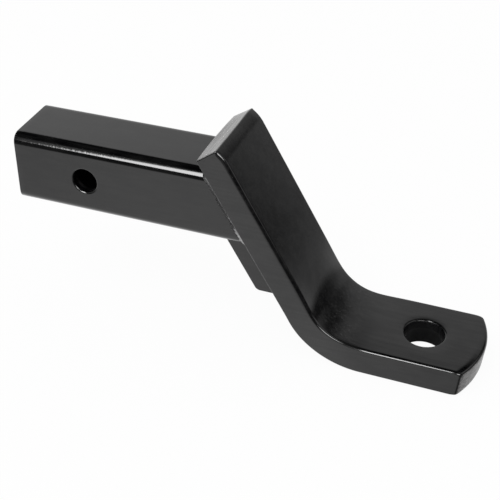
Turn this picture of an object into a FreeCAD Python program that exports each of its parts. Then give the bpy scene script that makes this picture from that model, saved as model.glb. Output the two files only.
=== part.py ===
import FreeCAD, Part
import math
import os

import Sketcher
from FreeCAD import Placement, Rotation, Vector

# A ball mount for a 2 inch receiver: a square shank tube with a mitred end, a flat bar bent into
# a leg and a level ball platform, a stiffener block under the tube, and the weld beads.
#
# Frame: millimetres, origin where the hitch pin's axis crosses the tube's centre line, +X towards
# the ball end, +Y across the mount, +Z up.

SIZES = [
    # Shank tube, 2 inch square with a quarter inch wall
    ("tube_side", 50.8, "outside of the square tube"),
    ("tube_wall", 6.35, "wall of the tube"),
    ("tube_corner", 6.6, "outer corner radius of the tube"),
    ("tube_inner_corner", 1.6, "inner corner radius of the tube"),
    ("tube_end_round", 0.8, "rounding of the open end's outer edge"),
    ("pin_setback", 52.0, "open end of the tube to the pin hole's axis"),
    ("pin_hole_radius", 8.33, "21/32 inch hole for a 5/8 inch pin"),
    ("pin_rim_round", 0.9, "rolled rim of the pin holes"),
    # Drawbar, flat bar 3/4 inch thick and half an inch wider than the tube
    ("bar_overhang", 6.35, "bar past the tube on each side, the ledge for the weld"),
    ("bar_thickness", 19.05, "thickness of the flat bar"),
    ("bar_face_round", 1.6, "rounding of the long edges on the platform's side"),
    ("bar_back_round", 0.8, "rounding of the long edges on the other side"),
    ("pin_to_ball", 233.3, "pin hole's axis to the ball hole's axis"),
    ("platform_drop", 107.95, "top of the tube down to the top of the platform"),
    ("leg_angle", 60.0, "slope of the leg above the platform, degrees"),
    ("bend_radius", 39.0, "inside radius of the bend"),
    ("ball_to_corner", 57.7, "ball hole's axis to where platform and leg would meet"),
    ("bar_past_tube", 25.4, "leg's face past the level of the tube's top, along the leg"),
    ("top_lean", 6.0, "lean of the sheared top end, degrees"),
    ("top_roll_length", 11.0, "stretch of the leg's face that the shear pulled over"),
    ("top_roll_depth", 2.8, "depth of that pull at the top end"),
    ("ball_hole_radius", 13.5, "1-1/16 inch hole for a 1 inch ball shank"),
    ("ball_rim_round", 0.9, "rolled upper rim of the ball hole"),
    ("ball_rim_under", 0.5, "lower rim of the ball hole"),
    ("ball_to_tip", 40.9, "ball hole's axis to the tip"),
    ("tip_radius", 56.5, "radius of the sheared tip, seen from above"),
    ("tip_roll_length", 9.0, "stretch of the platform that the tip's shear pulled over"),
    ("tip_roll_depth", 1.8, "depth of that pull at the tip"),
    # Stiffener block, 1-1/2 by 3/4 inch flat bar cut to a parallelogram
    ("block_inset", 6.35, "tube's side to the block's side"),
    ("block_thickness", 19.05, "thickness of the block, square to the leg"),
    ("block_above_bend", 10.7, "straight leg between the block and the bend"),
    ("block_corner", 2.5, "rounding of the block's lower back edge"),
    # Weld beads
    ("tube_weld_leg", 7.4, "leg of the bead along the tube"),
    ("tube_weld_margin", 0.15, "bead's toe to the rounding of the bar's edge"),
    ("tube_weld_stop", 3.0, "end of that bead above the tube's underside"),
    ("block_weld_leg", 5.0, "legs of the beads on the block"),
    ("block_weld_inset", 4.0, "ends of the block's side beads to the block's ends"),
    ("block_back_bead", 24.0, "length of the bead between block and tube"),
    ("weld_crown", 0.6, "height of a convex bead over its chord"),
]

PARTS_FOLDER = "parts"
SAME = 1e-4  # lengths closer than this are equal

doc = FreeCAD.newDocument("BallMount")
sheet = doc.addObject("Spreadsheet::Sheet", "Sizes")
for row, (alias, value, meaning) in enumerate(SIZES, start=1):
    sheet.set(f"A{row}", meaning)
    sheet.set(f"B{row}", str(value))
    sheet.setAlias(f"B{row}", alias)
doc.recompute()

# Expressions that several sub-parts share
SLOPE = "Sizes.leg_angle * 1deg"
HALF_SIDE = "Sizes.tube_side / 2"
BAR_WIDTH = "(Sizes.tube_side + 2 * Sizes.bar_overhang)"
BLOCK_WIDTH = "(Sizes.tube_side - 2 * Sizes.block_inset)"
BLOCK_DEPTH = f"(Sizes.block_thickness / sin({SLOPE}))"
# Setback of the bend's ends from the corner where platform and leg would meet
BEND_SETBACK = f"(Sizes.bend_radius * tan({SLOPE} / 2))"
LEG_LENGTH = f"(Sizes.platform_drop / sin({SLOPE}) + Sizes.bar_past_tube)"
# Where the bar's back face crosses the tube's centre line and its underside
BACK_AT_CENTRE = (
    "(Sizes.pin_to_ball - Sizes.ball_to_corner - (Sizes.bar_thickness"
    f" + (Sizes.platform_drop - {HALF_SIDE}) * cos({SLOPE})) / sin({SLOPE}))"
)
BACK_AT_UNDERSIDE = f"({BACK_AT_CENTRE} + {HALF_SIDE} / tan({SLOPE}))"
BLOCK_LENGTH = (
    "((Sizes.platform_drop - Sizes.tube_side"
    f" + Sizes.bar_thickness * cos({SLOPE})) / sin({SLOPE})"
    f" - {BEND_SETBACK} - Sizes.block_above_bend)"
)
TUBE_WELD_REACH = "(Sizes.bar_overhang - Sizes.bar_back_round - Sizes.tube_weld_margin)"


def size(name):
    """The value that the sheet holds under a name."""
    return float(sheet.get(name))


def slope():
    """The leg's slope in radians."""
    return math.radians(size("leg_angle"))


def bar_width():
    """Width of the flat bar."""
    return size("tube_side") + 2 * size("bar_overhang")


def bend_setback():
    """The bend's ends to the corner where platform and leg would meet."""
    return size("bend_radius") * math.tan(slope() / 2)


def back_face_x(height):
    """X of the bar's back face at a height above the tube's centre line."""
    corner_x = size("pin_to_ball") - size("ball_to_corner")
    rise = height + size("platform_drop") - size("tube_side") / 2
    return corner_x - (size("bar_thickness") + rise * math.cos(slope())) / math.sin(slope())


def roll_radius(length, depth):
    """Radius of an arc that leaves a face and sinks to a depth over a length."""
    return (length**2 + depth**2) / (2 * depth)


def crown_radius(chord, crown):
    """Radius of an arc that stands a crown above its chord."""
    return ((chord / 2) ** 2 + crown**2) / (2 * crown)


def new_body(label):
    """An empty body whose label names its file."""
    body = doc.addObject("PartDesign::Body", label)
    body.Label = label
    return body


def place(body, x="0", y="0", z="0"):
    """Ties the body's place to the sheet."""
    for axis, expression in (("x", x), ("y", y), ("z", z)):
        body.setExpression(f"Placement.Base.{axis}", expression)


def new_sketch(body, name, role, offset=None):
    """A sketch on one of the body's origin planes; offset is an expression along its normal."""
    sketch = body.newObject("Sketcher::SketchObject", name)
    plane = next(item for item in body.Origin.OriginFeatures if item.Role == role)
    sketch.AttachmentSupport = [(plane, "")]
    sketch.MapMode = "FlatFace"
    if offset is not None:
        sketch.setExpression("AttachmentOffset.Base.z", offset)
    return sketch


def line(sketch, start, end, construction=False):
    """A straight line between two points of the sketch's plane."""
    segment = Part.LineSegment(Vector(*start, 0), Vector(*end, 0))
    return sketch.addGeometry(segment, construction)


def arc(sketch, centre, start, end):
    """A counter-clockwise arc about a centre, from one point to another."""
    middle = Vector(*centre, 0)
    first, last = Vector(*start, 0) - middle, Vector(*end, 0) - middle
    circle = Part.Circle(middle, Vector(0, 0, 1), first.Length)
    angles = math.atan2(first.y, first.x), math.atan2(last.y, last.x)
    return sketch.addGeometry(Part.ArcOfCircle(circle, *angles), False)


def bind(sketch, expression, *constraint):
    """Adds a dimension and ties it to the sheet."""
    index = sketch.addConstraint(Sketcher.Constraint(*constraint))
    sketch.setExpression(f"Constraints[{index}]", expression)


def fix(sketch, axis, geometry, point, value, expression):
    """Fixes a point's X or Y; the expression gives its distance from the sketch's origin."""
    ends = [(-1, 1), (geometry, point)] if value > 0 else [(geometry, point), (-1, 1)]
    bind(sketch, expression, f"Distance{axis}", *ends[0], *ends[1], abs(value))


def relate(sketch, *constraint):
    """Adds a relation without a size, such as Tangent or Coincident."""
    sketch.addConstraint(Sketcher.Constraint(*constraint))


def close_polygon(sketch, points):
    """Straight lines round a list of points, joined end to end."""
    lines = [line(sketch, a, b) for a, b in zip(points, points[1:] + points[:1])]
    for current, following in zip(lines, lines[1:] + lines[:1]):
        relate(sketch, "Coincident", current, 2, following, 1)
    return lines


def rounded_rectangle(sketch, sides, corner, sides_of, corner_of):
    """A rectangle about the origin with round corners; sides_of and corner_of are expressions."""
    reach = [side / 2 - corner for side in sides]
    arcs = []
    for across, up in ((1, 1), (-1, 1), (-1, -1), (1, -1)):
        centre = (across * reach[0], up * reach[1])
        ends = [
            (centre[0] + across * corner, centre[1]),
            (centre[0], centre[1] + up * corner),
        ]
        if across * up < 0:
            ends.reverse()
        item = arc(sketch, centre, *ends)
        fix(sketch, "X", item, 3, centre[0], f"{sides_of[0]} / 2 - {corner_of}")
        fix(sketch, "Y", item, 3, centre[1], f"{sides_of[1]} / 2 - {corner_of}")
        bind(sketch, corner_of, "Radius", item, corner)
        arcs.append((item, ends))
    for (current, ends), (following, starts) in zip(arcs, arcs[1:] + arcs[:1]):
        side = line(sketch, ends[1], starts[0])
        relate(sketch, "Tangent", current, 2, side, 1)
        relate(sketch, "Tangent", side, 2, following, 1)


def tube_outline(sketch):
    """The tube's outer section, about the sketch's origin."""
    side = size("tube_side")
    sides_of = ("Sizes.tube_side", "Sizes.tube_side")
    rounded_rectangle(sketch, (side, side), size("tube_corner"), sides_of, "Sizes.tube_corner")


def pad(body, sketch, name, length, symmetric=False):
    """Extrudes a sketch into material; length is an expression."""
    feature = body.newObject("PartDesign::Pad", name)
    feature.Profile = sketch
    feature.SideType = "Symmetric" if symmetric else "One side"
    feature.setExpression("Length", length)
    doc.recompute()


def require_cut(body, before, name):
    """Stops if a cut left the body's volume as it was."""
    if body.Shape.Volume > before - SAME:
        raise RuntimeError(f"{name} removes nothing")


def pocket(body, sketch, name):
    """Cuts a sketch right through the body, both ways."""
    before = body.Shape.Volume
    feature = body.newObject("PartDesign::Pocket", name)
    feature.Profile = sketch
    feature.Type = "ThroughAll"
    feature.SideType = "Symmetric"
    doc.recompute()
    require_cut(body, before, name)


def round_edges(body, name, radius, wanted):
    """Rounds the edges of the body's shape for which wanted is true; radius is an expression."""
    base = body.Tip
    names = [f"Edge{i}" for i, edge in enumerate(base.Shape.Edges, start=1) if wanted(edge)]
    if not names:
        raise RuntimeError(f"{name} finds no edge")
    feature = body.newObject("PartDesign::Fillet", name)
    feature.Base = (base, names)
    feature.setExpression("Radius", radius)
    doc.recompute()


def points_on(edge):
    """Points spread evenly along an edge, both ends included."""
    return edge.discretize(Number=9)


def is_circle(edge, radius):
    """True for a full circle of that radius."""
    full = isinstance(edge.Curve, Part.Circle) and edge.isClosed()
    return full and abs(edge.Curve.Radius - radius) < SAME


def circle_sketch(body, name, role, radius_name):
    """A sketch with one circle about the body's origin."""
    sketch = new_sketch(body, name, role)
    item = sketch.addGeometry(Part.Circle(Vector(), Vector(0, 0, 1), size(radius_name)), False)
    relate(sketch, "Coincident", item, 3, -1, 1)
    bind(sketch, f"Sizes.{radius_name}", "Radius", item, size(radius_name))
    return sketch


def build_shank_tube():
    """The square tube: its section, its hollow, the mitre on the bar's back and the pin holes."""
    body = new_body("shank_tube")
    section = new_sketch(body, "ShankSection", "YZ_Plane", "-Sizes.pin_setback")
    tube_outline(section)
    pad(body, section, "ShankBlank", f"Sizes.pin_setback + {BACK_AT_UNDERSIDE} + Sizes.tube_side")

    side, inside = size("tube_side"), size("tube_side") - 2 * size("tube_wall")
    inside_of = "(Sizes.tube_side - 2 * Sizes.tube_wall)"
    inner_corner = (size("tube_inner_corner"), (inside_of, inside_of), "Sizes.tube_inner_corner")
    hollow = new_sketch(body, "ShankHollow", "YZ_Plane")
    rounded_rectangle(hollow, (inside, inside), *inner_corner)
    pocket(body, hollow, "ShankBore")

    mitre = new_sketch(body, "MitreOutline", "XZ_Plane")
    draw_mitre(mitre)
    pocket(body, mitre, "MitreCut")

    pocket(body, circle_sketch(body, "PinHole", "XZ_Plane", "pin_hole_radius"), "PinHoles")

    def outer_rim(edge):
        return is_circle(edge, size("pin_hole_radius")) and abs(edge.Curve.Center.y) > inside / 2

    round_edges(body, "PinRims", "Sizes.pin_rim_round", outer_rim)

    def open_end(edge):
        at_end = all(abs(p.x + size("pin_setback")) < SAME for p in points_on(edge))
        outside = side / 2 - size("tube_corner")
        return at_end and all(max(abs(p.y), abs(p.z)) > outside for p in points_on(edge))

    round_edges(body, "OpenEnd", "Sizes.tube_end_round", open_end)
    return body


def draw_mitre(sketch):
    """What the mitre takes off: the region beyond the bar's back face."""
    side, far_x = size("tube_side"), back_face_x(0) + 4 * size("tube_side")
    low_x, high_x = back_face_x(-side), back_face_x(side)
    corners = [(low_x, -side), (far_x, -side), (far_x, side), (high_x, side)]
    under, end, over, slanted = close_polygon(sketch, corners)
    relate(sketch, "Horizontal", under)
    relate(sketch, "Vertical", end)
    relate(sketch, "Horizontal", over)
    run = f"Sizes.tube_side / tan({SLOPE})"
    fix(sketch, "X", under, 1, low_x, f"{BACK_AT_CENTRE} + {run}")
    fix(sketch, "Y", under, 1, -side, "Sizes.tube_side")
    fix(sketch, "X", slanted, 1, high_x, f"{BACK_AT_CENTRE} - {run}")
    fix(sketch, "Y", slanted, 1, side, "Sizes.tube_side")
    fix(sketch, "X", end, 1, far_x, f"{BACK_AT_CENTRE} + 4 * Sizes.tube_side")


class BarProfile:
    """Side view of the bent bar, with the ball hole's axis at x 0 and the platform at y 0."""

    def __init__(self):
        self.thickness = size("bar_thickness")
        self.inside = size("bend_radius")
        self.up_leg = Vector(-math.cos(slope()), math.sin(slope()), 0)
        self.outward = Vector(math.sin(slope()), math.cos(slope()), 0)
        self.corner = Vector(-size("ball_to_corner"), 0, 0)
        self.centre = self.corner + Vector(bend_setback(), self.inside, 0)
        self.leg = size("platform_drop") / math.sin(slope()) + size("bar_past_tube")

    def depth(self, x, y):
        """How far a point lies under the face that platform, bend and leg share."""
        arm = Vector(x, y, 0) - self.centre
        if arm.x >= 0:
            return -y
        if arm.dot(self.up_leg) >= 0:
            return -(Vector(x, y, 0) - self.corner).dot(self.outward)
        return arm.Length - self.inside

    def draw(self, sketch):
        """Draws the outline and ties it to the sheet."""
        tip, roll_length, roll_depth = size("ball_to_tip"), size("top_roll_length"), size("top_roll_depth")
        roll_size, lean = roll_radius(roll_length, roll_depth), math.radians(size("top_lean"))

        bend_low = self.centre - Vector(0, self.inside, 0)
        bend_high = self.centre - self.outward * self.inside
        outer_low = bend_low - Vector(0, self.thickness, 0)
        outer_high = bend_high - self.outward * self.thickness
        roll_start = self.corner + self.up_leg * (self.leg - roll_length)
        roll_centre = roll_start - self.outward * roll_size
        top_front = self.corner + self.up_leg * self.leg - self.outward * roll_depth
        sink = (self.thickness - roll_depth) * math.tan(lean)
        top_back = self.corner + self.up_leg * (self.leg - sink) - self.outward * self.thickness

        def flat(point):
            return (point.x, point.y)

        platform = line(sketch, (tip, 0), flat(bend_low))
        inner = arc(sketch, flat(self.centre), flat(bend_high), flat(bend_low))
        face = line(sketch, flat(bend_high), flat(roll_start))
        roll = arc(sketch, flat(roll_centre), flat(roll_start), flat(top_front))
        cap = line(sketch, flat(top_front), flat(top_back))
        back = line(sketch, flat(top_back), flat(outer_high))
        outer = arc(sketch, flat(self.centre), flat(outer_high), flat(outer_low))
        under = line(sketch, flat(outer_low), (tip, -self.thickness))
        end = line(sketch, (tip, -self.thickness), (tip, 0))
        corner = sketch.addGeometry(Part.Point(self.corner), True)

        relate(sketch, "PointOnObject", platform, 1, -1)
        relate(sketch, "PointOnObject", platform, 2, -1)
        relate(sketch, "Tangent", platform, 2, inner, 2)
        relate(sketch, "Tangent", inner, 1, face, 1)
        relate(sketch, "Tangent", face, 2, roll, 1)
        relate(sketch, "Coincident", roll, 2, cap, 1)
        relate(sketch, "Coincident", cap, 2, back, 1)
        relate(sketch, "Tangent", back, 2, outer, 1)
        relate(sketch, "Tangent", outer, 2, under, 1)
        relate(sketch, "Coincident", under, 2, end, 1)
        relate(sketch, "Coincident", end, 2, platform, 1)
        relate(sketch, "Coincident", outer, 3, inner, 3)
        relate(sketch, "Vertical", end)
        relate(sketch, "Horizontal", under)
        relate(sketch, "Parallel", back, face)
        relate(sketch, "PointOnObject", corner, 1, -1)
        relate(sketch, "PointOnObject", corner, 1, face)
        fix(sketch, "X", platform, 1, tip, "Sizes.ball_to_tip")
        fix(sketch, "X", corner, 1, self.corner.x, "Sizes.ball_to_corner")
        bind(sketch, "Sizes.bend_radius", "Radius", inner, self.inside)
        bind(
            sketch,
            "Sizes.bend_radius + Sizes.bar_thickness",
            "Radius",
            outer,
            self.inside + self.thickness,
        )
        bind(sketch, f"180deg - {SLOPE}", "Angle", face, math.pi - slope())
        straight = f"{LEG_LENGTH} - Sizes.top_roll_length"
        bind(sketch, straight, "Distance", corner, 1, face, 2, self.leg - roll_length)
        squares = "(Sizes.top_roll_length ^ 2 + Sizes.top_roll_depth ^ 2)"
        bind(sketch, f"{squares} / (2 * Sizes.top_roll_depth)", "Radius", roll, roll_size)
        bind(sketch, "Sizes.top_roll_depth", "Distance", roll, 2, face, roll_depth)
        lean_of = f"270deg - {SLOPE} + Sizes.top_lean * 1deg"
        bind(sketch, lean_of, "Angle", cap, 1.5 * math.pi - slope() + lean)


def build_drawbar():
    """The bent bar: side view padded to its width, long edges rounded, tip sheared, ball hole."""
    body = new_body("drawbar")
    place(body, x="Sizes.pin_to_ball", z=f"{HALF_SIDE} - Sizes.platform_drop")
    profile = BarProfile()
    side_view = new_sketch(body, "BarProfile", "XZ_Plane")
    profile.draw(side_view)
    pad(body, side_view, "BarBlank", BAR_WIDTH, symmetric=True)

    def share_of_depth(edge):
        """How deep in the bar's thickness a long edge lies, or nothing for any other edge."""
        points = points_on(edge)
        if any(abs(abs(p.y) - bar_width() / 2) > SAME for p in points):
            return []
        return [profile.depth(p.x, p.z) / profile.thickness for p in points]

    def on_face(edge):
        shares = share_of_depth(edge)
        return bool(shares) and max(shares) < 0.5

    def on_back(edge):
        shares = share_of_depth(edge)
        return bool(shares) and min(shares) > 0.5

    round_edges(body, "FaceEdges", "Sizes.bar_face_round", on_face)
    round_edges(body, "BackEdges", "Sizes.bar_back_round", on_back)

    outline = new_sketch(body, "TipOutline", "XY_Plane")
    draw_tip(outline)
    pocket(body, outline, "TipCut")
    roll_tip(body)

    pocket(body, circle_sketch(body, "BallHole", "XY_Plane", "ball_hole_radius"), "BallHoleCut")
    for name, radius, height in (
        ("BallRim", "ball_rim_round", 0),
        ("BallRimUnder", "ball_rim_under", -profile.thickness),
    ):

        def rim(edge):
            at_height = is_circle(edge, size("ball_hole_radius"))
            return at_height and abs(edge.Curve.Center.z - height) < SAME

        round_edges(body, name, f"Sizes.{radius}", rim)
    return body


def draw_tip(sketch):
    """What the tip's shear takes off: the region beyond its arc, seen from above."""
    tip, radius, half = size("ball_to_tip"), size("tip_radius"), bar_width() / 2
    side_x = tip - radius + math.sqrt(radius**2 - half**2)
    tip_arc = arc(sketch, (tip - radius, 0), (side_x, -half), (side_x, half))
    upper = line(sketch, (side_x, half), (2 * tip, half))
    end = line(sketch, (2 * tip, half), (2 * tip, -half))
    lower = line(sketch, (2 * tip, -half), (side_x, -half))
    relate(sketch, "Coincident", tip_arc, 2, upper, 1)
    relate(sketch, "Coincident", upper, 2, end, 1)
    relate(sketch, "Coincident", end, 2, lower, 1)
    relate(sketch, "Coincident", lower, 2, tip_arc, 1)
    relate(sketch, "Horizontal", upper)
    relate(sketch, "Horizontal", lower)
    relate(sketch, "Vertical", end)
    relate(sketch, "PointOnObject", tip_arc, 3, -1)
    fix(sketch, "X", tip_arc, 3, tip - radius, "Sizes.tip_radius - Sizes.ball_to_tip")
    bind(sketch, "Sizes.tip_radius", "Radius", tip_arc, radius)
    fix(sketch, "X", end, 1, 2 * tip, "2 * Sizes.ball_to_tip")
    fix(sketch, "Y", end, 1, half, f"{BAR_WIDTH} / 2")
    fix(sketch, "Y", end, 2, -half, f"{BAR_WIDTH} / 2")


def roll_tip(body):
    """Sinks the platform's end, as the shear pulls it over, by a groove about the tip arc's axis."""
    tip, radius = size("ball_to_tip"), size("tip_radius")
    length, depth = size("tip_roll_length"), size("tip_roll_depth")
    section = new_sketch(body, "TipRollSection", "XZ_Plane")
    centre = (tip - length, -roll_radius(length, depth))
    roll = arc(section, centre, (tip, -depth), (tip - length, 0))
    level = line(section, (tip - length, 0), (tip, 0))
    drop = line(section, (tip, 0), (tip, -depth))
    axis = line(section, (tip - radius, 0), (tip - radius, radius), construction=True)
    relate(section, "Tangent", roll, 2, level, 1)
    relate(section, "Coincident", level, 2, drop, 1)
    relate(section, "Coincident", drop, 2, roll, 1)
    relate(section, "PointOnObject", level, 1, -1)
    relate(section, "PointOnObject", level, 2, -1)
    relate(section, "Vertical", drop)
    fix(section, "X", level, 2, tip, "Sizes.ball_to_tip")
    bind(section, "Sizes.tip_roll_length", "DistanceX", level, 1, level, 2, length)
    bind(section, "Sizes.tip_roll_depth", "DistanceY", drop, 2, drop, 1, depth)
    relate(section, "Vertical", axis)
    relate(section, "PointOnObject", axis, 1, -1)
    fix(section, "X", axis, 1, tip - radius, "Sizes.tip_radius - Sizes.ball_to_tip")
    bind(section, "Sizes.tip_radius", "DistanceY", axis, 1, axis, 2, radius)
    before = body.Shape.Volume
    groove = body.newObject("PartDesign::Groove", "TipRoll")
    groove.Profile = section
    groove.ReferenceAxis = (section, ["Axis0"])
    groove.Midplane = True
    # A little more than the angle that the bar's width takes at the roll's inner end
    half_angle = f"asin({BAR_WIDTH} / 2 / (Sizes.tip_radius - Sizes.tip_roll_length))"
    groove.setExpression("Angle", f"2.2 * {half_angle}")
    doc.recompute()
    require_cut(body, before, "TipRoll")


def build_block():
    """The stiffener block: a parallelogram under the tube and against the bar's back."""
    body = new_body("stiffener_block")
    place(body, x=BACK_AT_UNDERSIDE, z=f"-{HALF_SIDE}")
    depth = size("block_thickness") / math.sin(slope())
    leg_left = size("platform_drop") - size("tube_side") + size("bar_thickness") * math.cos(slope())
    length = leg_left / math.sin(slope()) - bend_setback() - size("block_above_bend")
    foot = (length * math.cos(slope()), -length * math.sin(slope()))
    outline = new_sketch(body, "BlockProfile", "XZ_Plane")
    corners = [(0, 0), (-depth, 0), (foot[0] - depth, foot[1]), foot]
    top, back, under, front = close_polygon(outline, corners)
    relate(outline, "Coincident", top, 1, -1, 1)
    relate(outline, "Horizontal", top)
    relate(outline, "Horizontal", under)
    relate(outline, "Parallel", back, front)
    fix(outline, "X", top, 2, -depth, BLOCK_DEPTH)
    fix(outline, "X", front, 1, foot[0], f"{BLOCK_LENGTH} * cos({SLOPE})")
    fix(outline, "Y", front, 1, foot[1], f"{BLOCK_LENGTH} * sin({SLOPE})")
    pad(body, outline, "BlockBlank", BLOCK_WIDTH, symmetric=True)

    def lower_back(edge):
        spread = [Vector(p.x - foot[0] + depth, 0, p.z - foot[1]).Length for p in points_on(edge)]
        return max(spread) < SAME

    round_edges(body, "BlockCorner", "Sizes.block_corner", lower_back)
    return body


def build_tube_weld():
    """The bead round the tube: a loft from the bar's back to the tube, less tube and underside."""
    body = new_body("tube_weld")
    place(body, x=BACK_AT_CENTRE)
    on_bar = size("bar_overhang") - size("bar_back_round") - size("tube_weld_margin")
    outlines = [
        weld_outline(body, "WeldOnBar", on_bar, TUBE_WELD_REACH, "0"),
        weld_outline(body, "WeldOnTube", 0, "0", "-Sizes.tube_weld_leg"),
    ]
    doc.recompute()
    collar = body.newObject("PartDesign::AdditiveLoft", "WeldCollar")
    collar.Profile = outlines[0]
    collar.Sections = [outlines[1]]
    collar.Ruled = True
    doc.recompute()

    core = new_sketch(body, "TubeInWeld", "YZ_Plane")
    tube_outline(core)
    pocket(body, core, "TubeCore")

    # The bead stops short of the tube's underside, where the block is.
    side, stop = size("tube_side"), size("tube_weld_stop") - size("tube_side") / 2
    below = new_sketch(body, "WeldStopOutline", "XZ_Plane")
    corners = [(-2 * side, stop), (-2 * side, -side), (2 * side, -side), (2 * side, stop)]
    left, under, right, over = close_polygon(below, corners)
    relate(below, "Vertical", left)
    relate(below, "Horizontal", under)
    relate(below, "Vertical", right)
    relate(below, "Horizontal", over)
    fix(below, "X", left, 1, -2 * side, "2 * Sizes.tube_side")
    fix(below, "Y", left, 1, stop, f"{HALF_SIDE} - Sizes.tube_weld_stop")
    fix(below, "X", right, 1, 2 * side, "2 * Sizes.tube_side")
    fix(below, "Y", under, 1, -side, "Sizes.tube_side")
    pocket(body, below, "WeldStop")
    return body


def weld_outline(body, name, reach, reach_of, shift):
    """The tube's outline on a plane parallel to the bar's back, grown by a reach."""
    outline = new_sketch(body, name, "YZ_Plane", shift)
    turned = Placement(Vector(), Rotation(Vector(-1, 0, 0), 90 - size("leg_angle")))
    outline.AttachmentOffset = turned
    outline.setExpression("AttachmentOffset.Rotation.Angle", "90deg - Sizes.leg_angle * 1deg")
    side, corner = size("tube_side"), size("tube_corner") / math.sin(slope())
    sides = (side + 2 * reach, side / math.sin(slope()) + 2 * reach)
    sides_of = (
        f"(Sizes.tube_side + 2 * {reach_of})",
        f"(Sizes.tube_side / sin({SLOPE}) + 2 * {reach_of})",
    )
    corner_of = f"(Sizes.tube_corner / sin({SLOPE}) + {reach_of})"
    rounded_rectangle(outline, sides, corner + reach, sides_of, corner_of)
    return outline


def bead_section(sketch, first, second):
    """A bead's section: its root at the origin, toes along two directions, a convex face.

    The directions are given counter-clockwise."""
    leg = size("block_weld_leg")
    toe, other = Vector(*first, 0) * leg, Vector(*second, 0) * leg
    middle, chord = (toe + other) / 2, (other - toe).Length
    radius = crown_radius(chord, size("weld_crown"))
    centre = middle * (1 - (radius - size("weld_crown")) / middle.Length)
    near = line(sketch, (0, 0), (toe.x, toe.y))
    far = line(sketch, (0, 0), (other.x, other.y))
    face = arc(sketch, (centre.x, centre.y), (toe.x, toe.y), (other.x, other.y))
    relate(sketch, "Coincident", near, 1, -1, 1)
    relate(sketch, "Coincident", far, 1, -1, 1)
    relate(sketch, "Coincident", near, 2, face, 1)
    relate(sketch, "Coincident", far, 2, face, 2)
    for side, direction in ((near, first), (far, second)):
        bind(sketch, "Sizes.block_weld_leg", "Distance", side, leg)
        if abs(direction[1]) < SAME:
            relate(sketch, "Horizontal", side)
        elif abs(direction[0]) < SAME:
            relate(sketch, "Vertical", side)
        else:
            bind(sketch, f"-{SLOPE}", "Angle", side, -slope())
    return face, radius


def build_side_bead(label, side_sign):
    """A bead down one side of the block, in the corner with the bar's back."""
    body = new_body(label)
    half_width = f"{side_sign} * {BLOCK_WIDTH} / 2"
    place(body, x=BACK_AT_UNDERSIDE, y=half_width, z=f"-{HALF_SIDE}")
    # Its own z runs down the leg and its own x away from the bar's back.
    body.Placement.Rotation = Rotation(Vector(0, 1, 0), 90 + size("leg_angle"))
    body.setExpression("Placement.Rotation.Angle", f"90deg + {SLOPE}")
    sketch = new_sketch(body, f"{label}_section", "XY_Plane", "Sizes.block_weld_inset")
    directions = [(1, 0), (0, 1)] if side_sign > 0 else [(0, -1), (1, 0)]
    face, radius = bead_section(sketch, *directions)
    squares = "(Sizes.block_weld_leg ^ 2 / 2 + Sizes.weld_crown ^ 2)"
    bind(sketch, f"{squares} / (2 * Sizes.weld_crown)", "Radius", face, radius)
    pad(body, sketch, f"{label}_bead", f"{BLOCK_LENGTH} - 2 * Sizes.block_weld_inset")
    return body


def build_back_bead():
    """The bead between the block's back and the tube's underside."""
    body = new_body("block_weld_back")
    place(body, x=f"{BACK_AT_UNDERSIDE} - {BLOCK_DEPTH}", z=f"-{HALF_SIDE}")
    sketch = new_sketch(body, "BackBeadSection", "XZ_Plane")
    face, radius = bead_section(sketch, (-1, 0), (math.cos(slope()), -math.sin(slope())))
    half_chord = f"(Sizes.block_weld_leg * cos({SLOPE} / 2))"
    squares = f"({half_chord} ^ 2 + Sizes.weld_crown ^ 2)"
    bind(sketch, f"{squares} / (2 * Sizes.weld_crown)", "Radius", face, radius)
    pad(body, sketch, "BackBead", "Sizes.block_back_bead", symmetric=True)
    return body


def check_document():
    """Stops if any object of the document failed or a sketch is loose."""
    for item in doc.Objects:
        if {"Invalid", "Error"} & set(item.State):
            raise RuntimeError(f"{item.Label} failed: {item.State}")
        if item.TypeId == "Sketcher::SketchObject" and item.solve() != 0:
            raise RuntimeError(f"{item.Label} can't be solved")


def write_parts(bodies):
    """Writes each sub-part to its own file."""
    for body in bodies:
        shape = body.Shape
        if shape.isNull() or not shape.isValid() or len(shape.Solids) != 1:
            raise RuntimeError(f"{body.Label} isn't one valid solid")
    os.makedirs(PARTS_FOLDER, exist_ok=True)
    for body in bodies:
        body.Shape.exportStep(f"{PARTS_FOLDER}/{body.Label}.step")
        print(f"{body.Label}: {body.Shape.Volume:.1f} mm3")


def main():
    bodies = [
        build_shank_tube(),
        build_drawbar(),
        build_block(),
        build_tube_weld(),
        build_side_bead("block_weld_left", -1),
        build_side_bead("block_weld_right", 1),
        build_back_bead(),
    ]
    doc.recompute()
    check_document()
    write_parts(bodies)


main()
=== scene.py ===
import logging
import math
from collections.abc import Callable, Mapping, Sequence
from dataclasses import dataclass
from enum import Enum
from typing import Any

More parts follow.
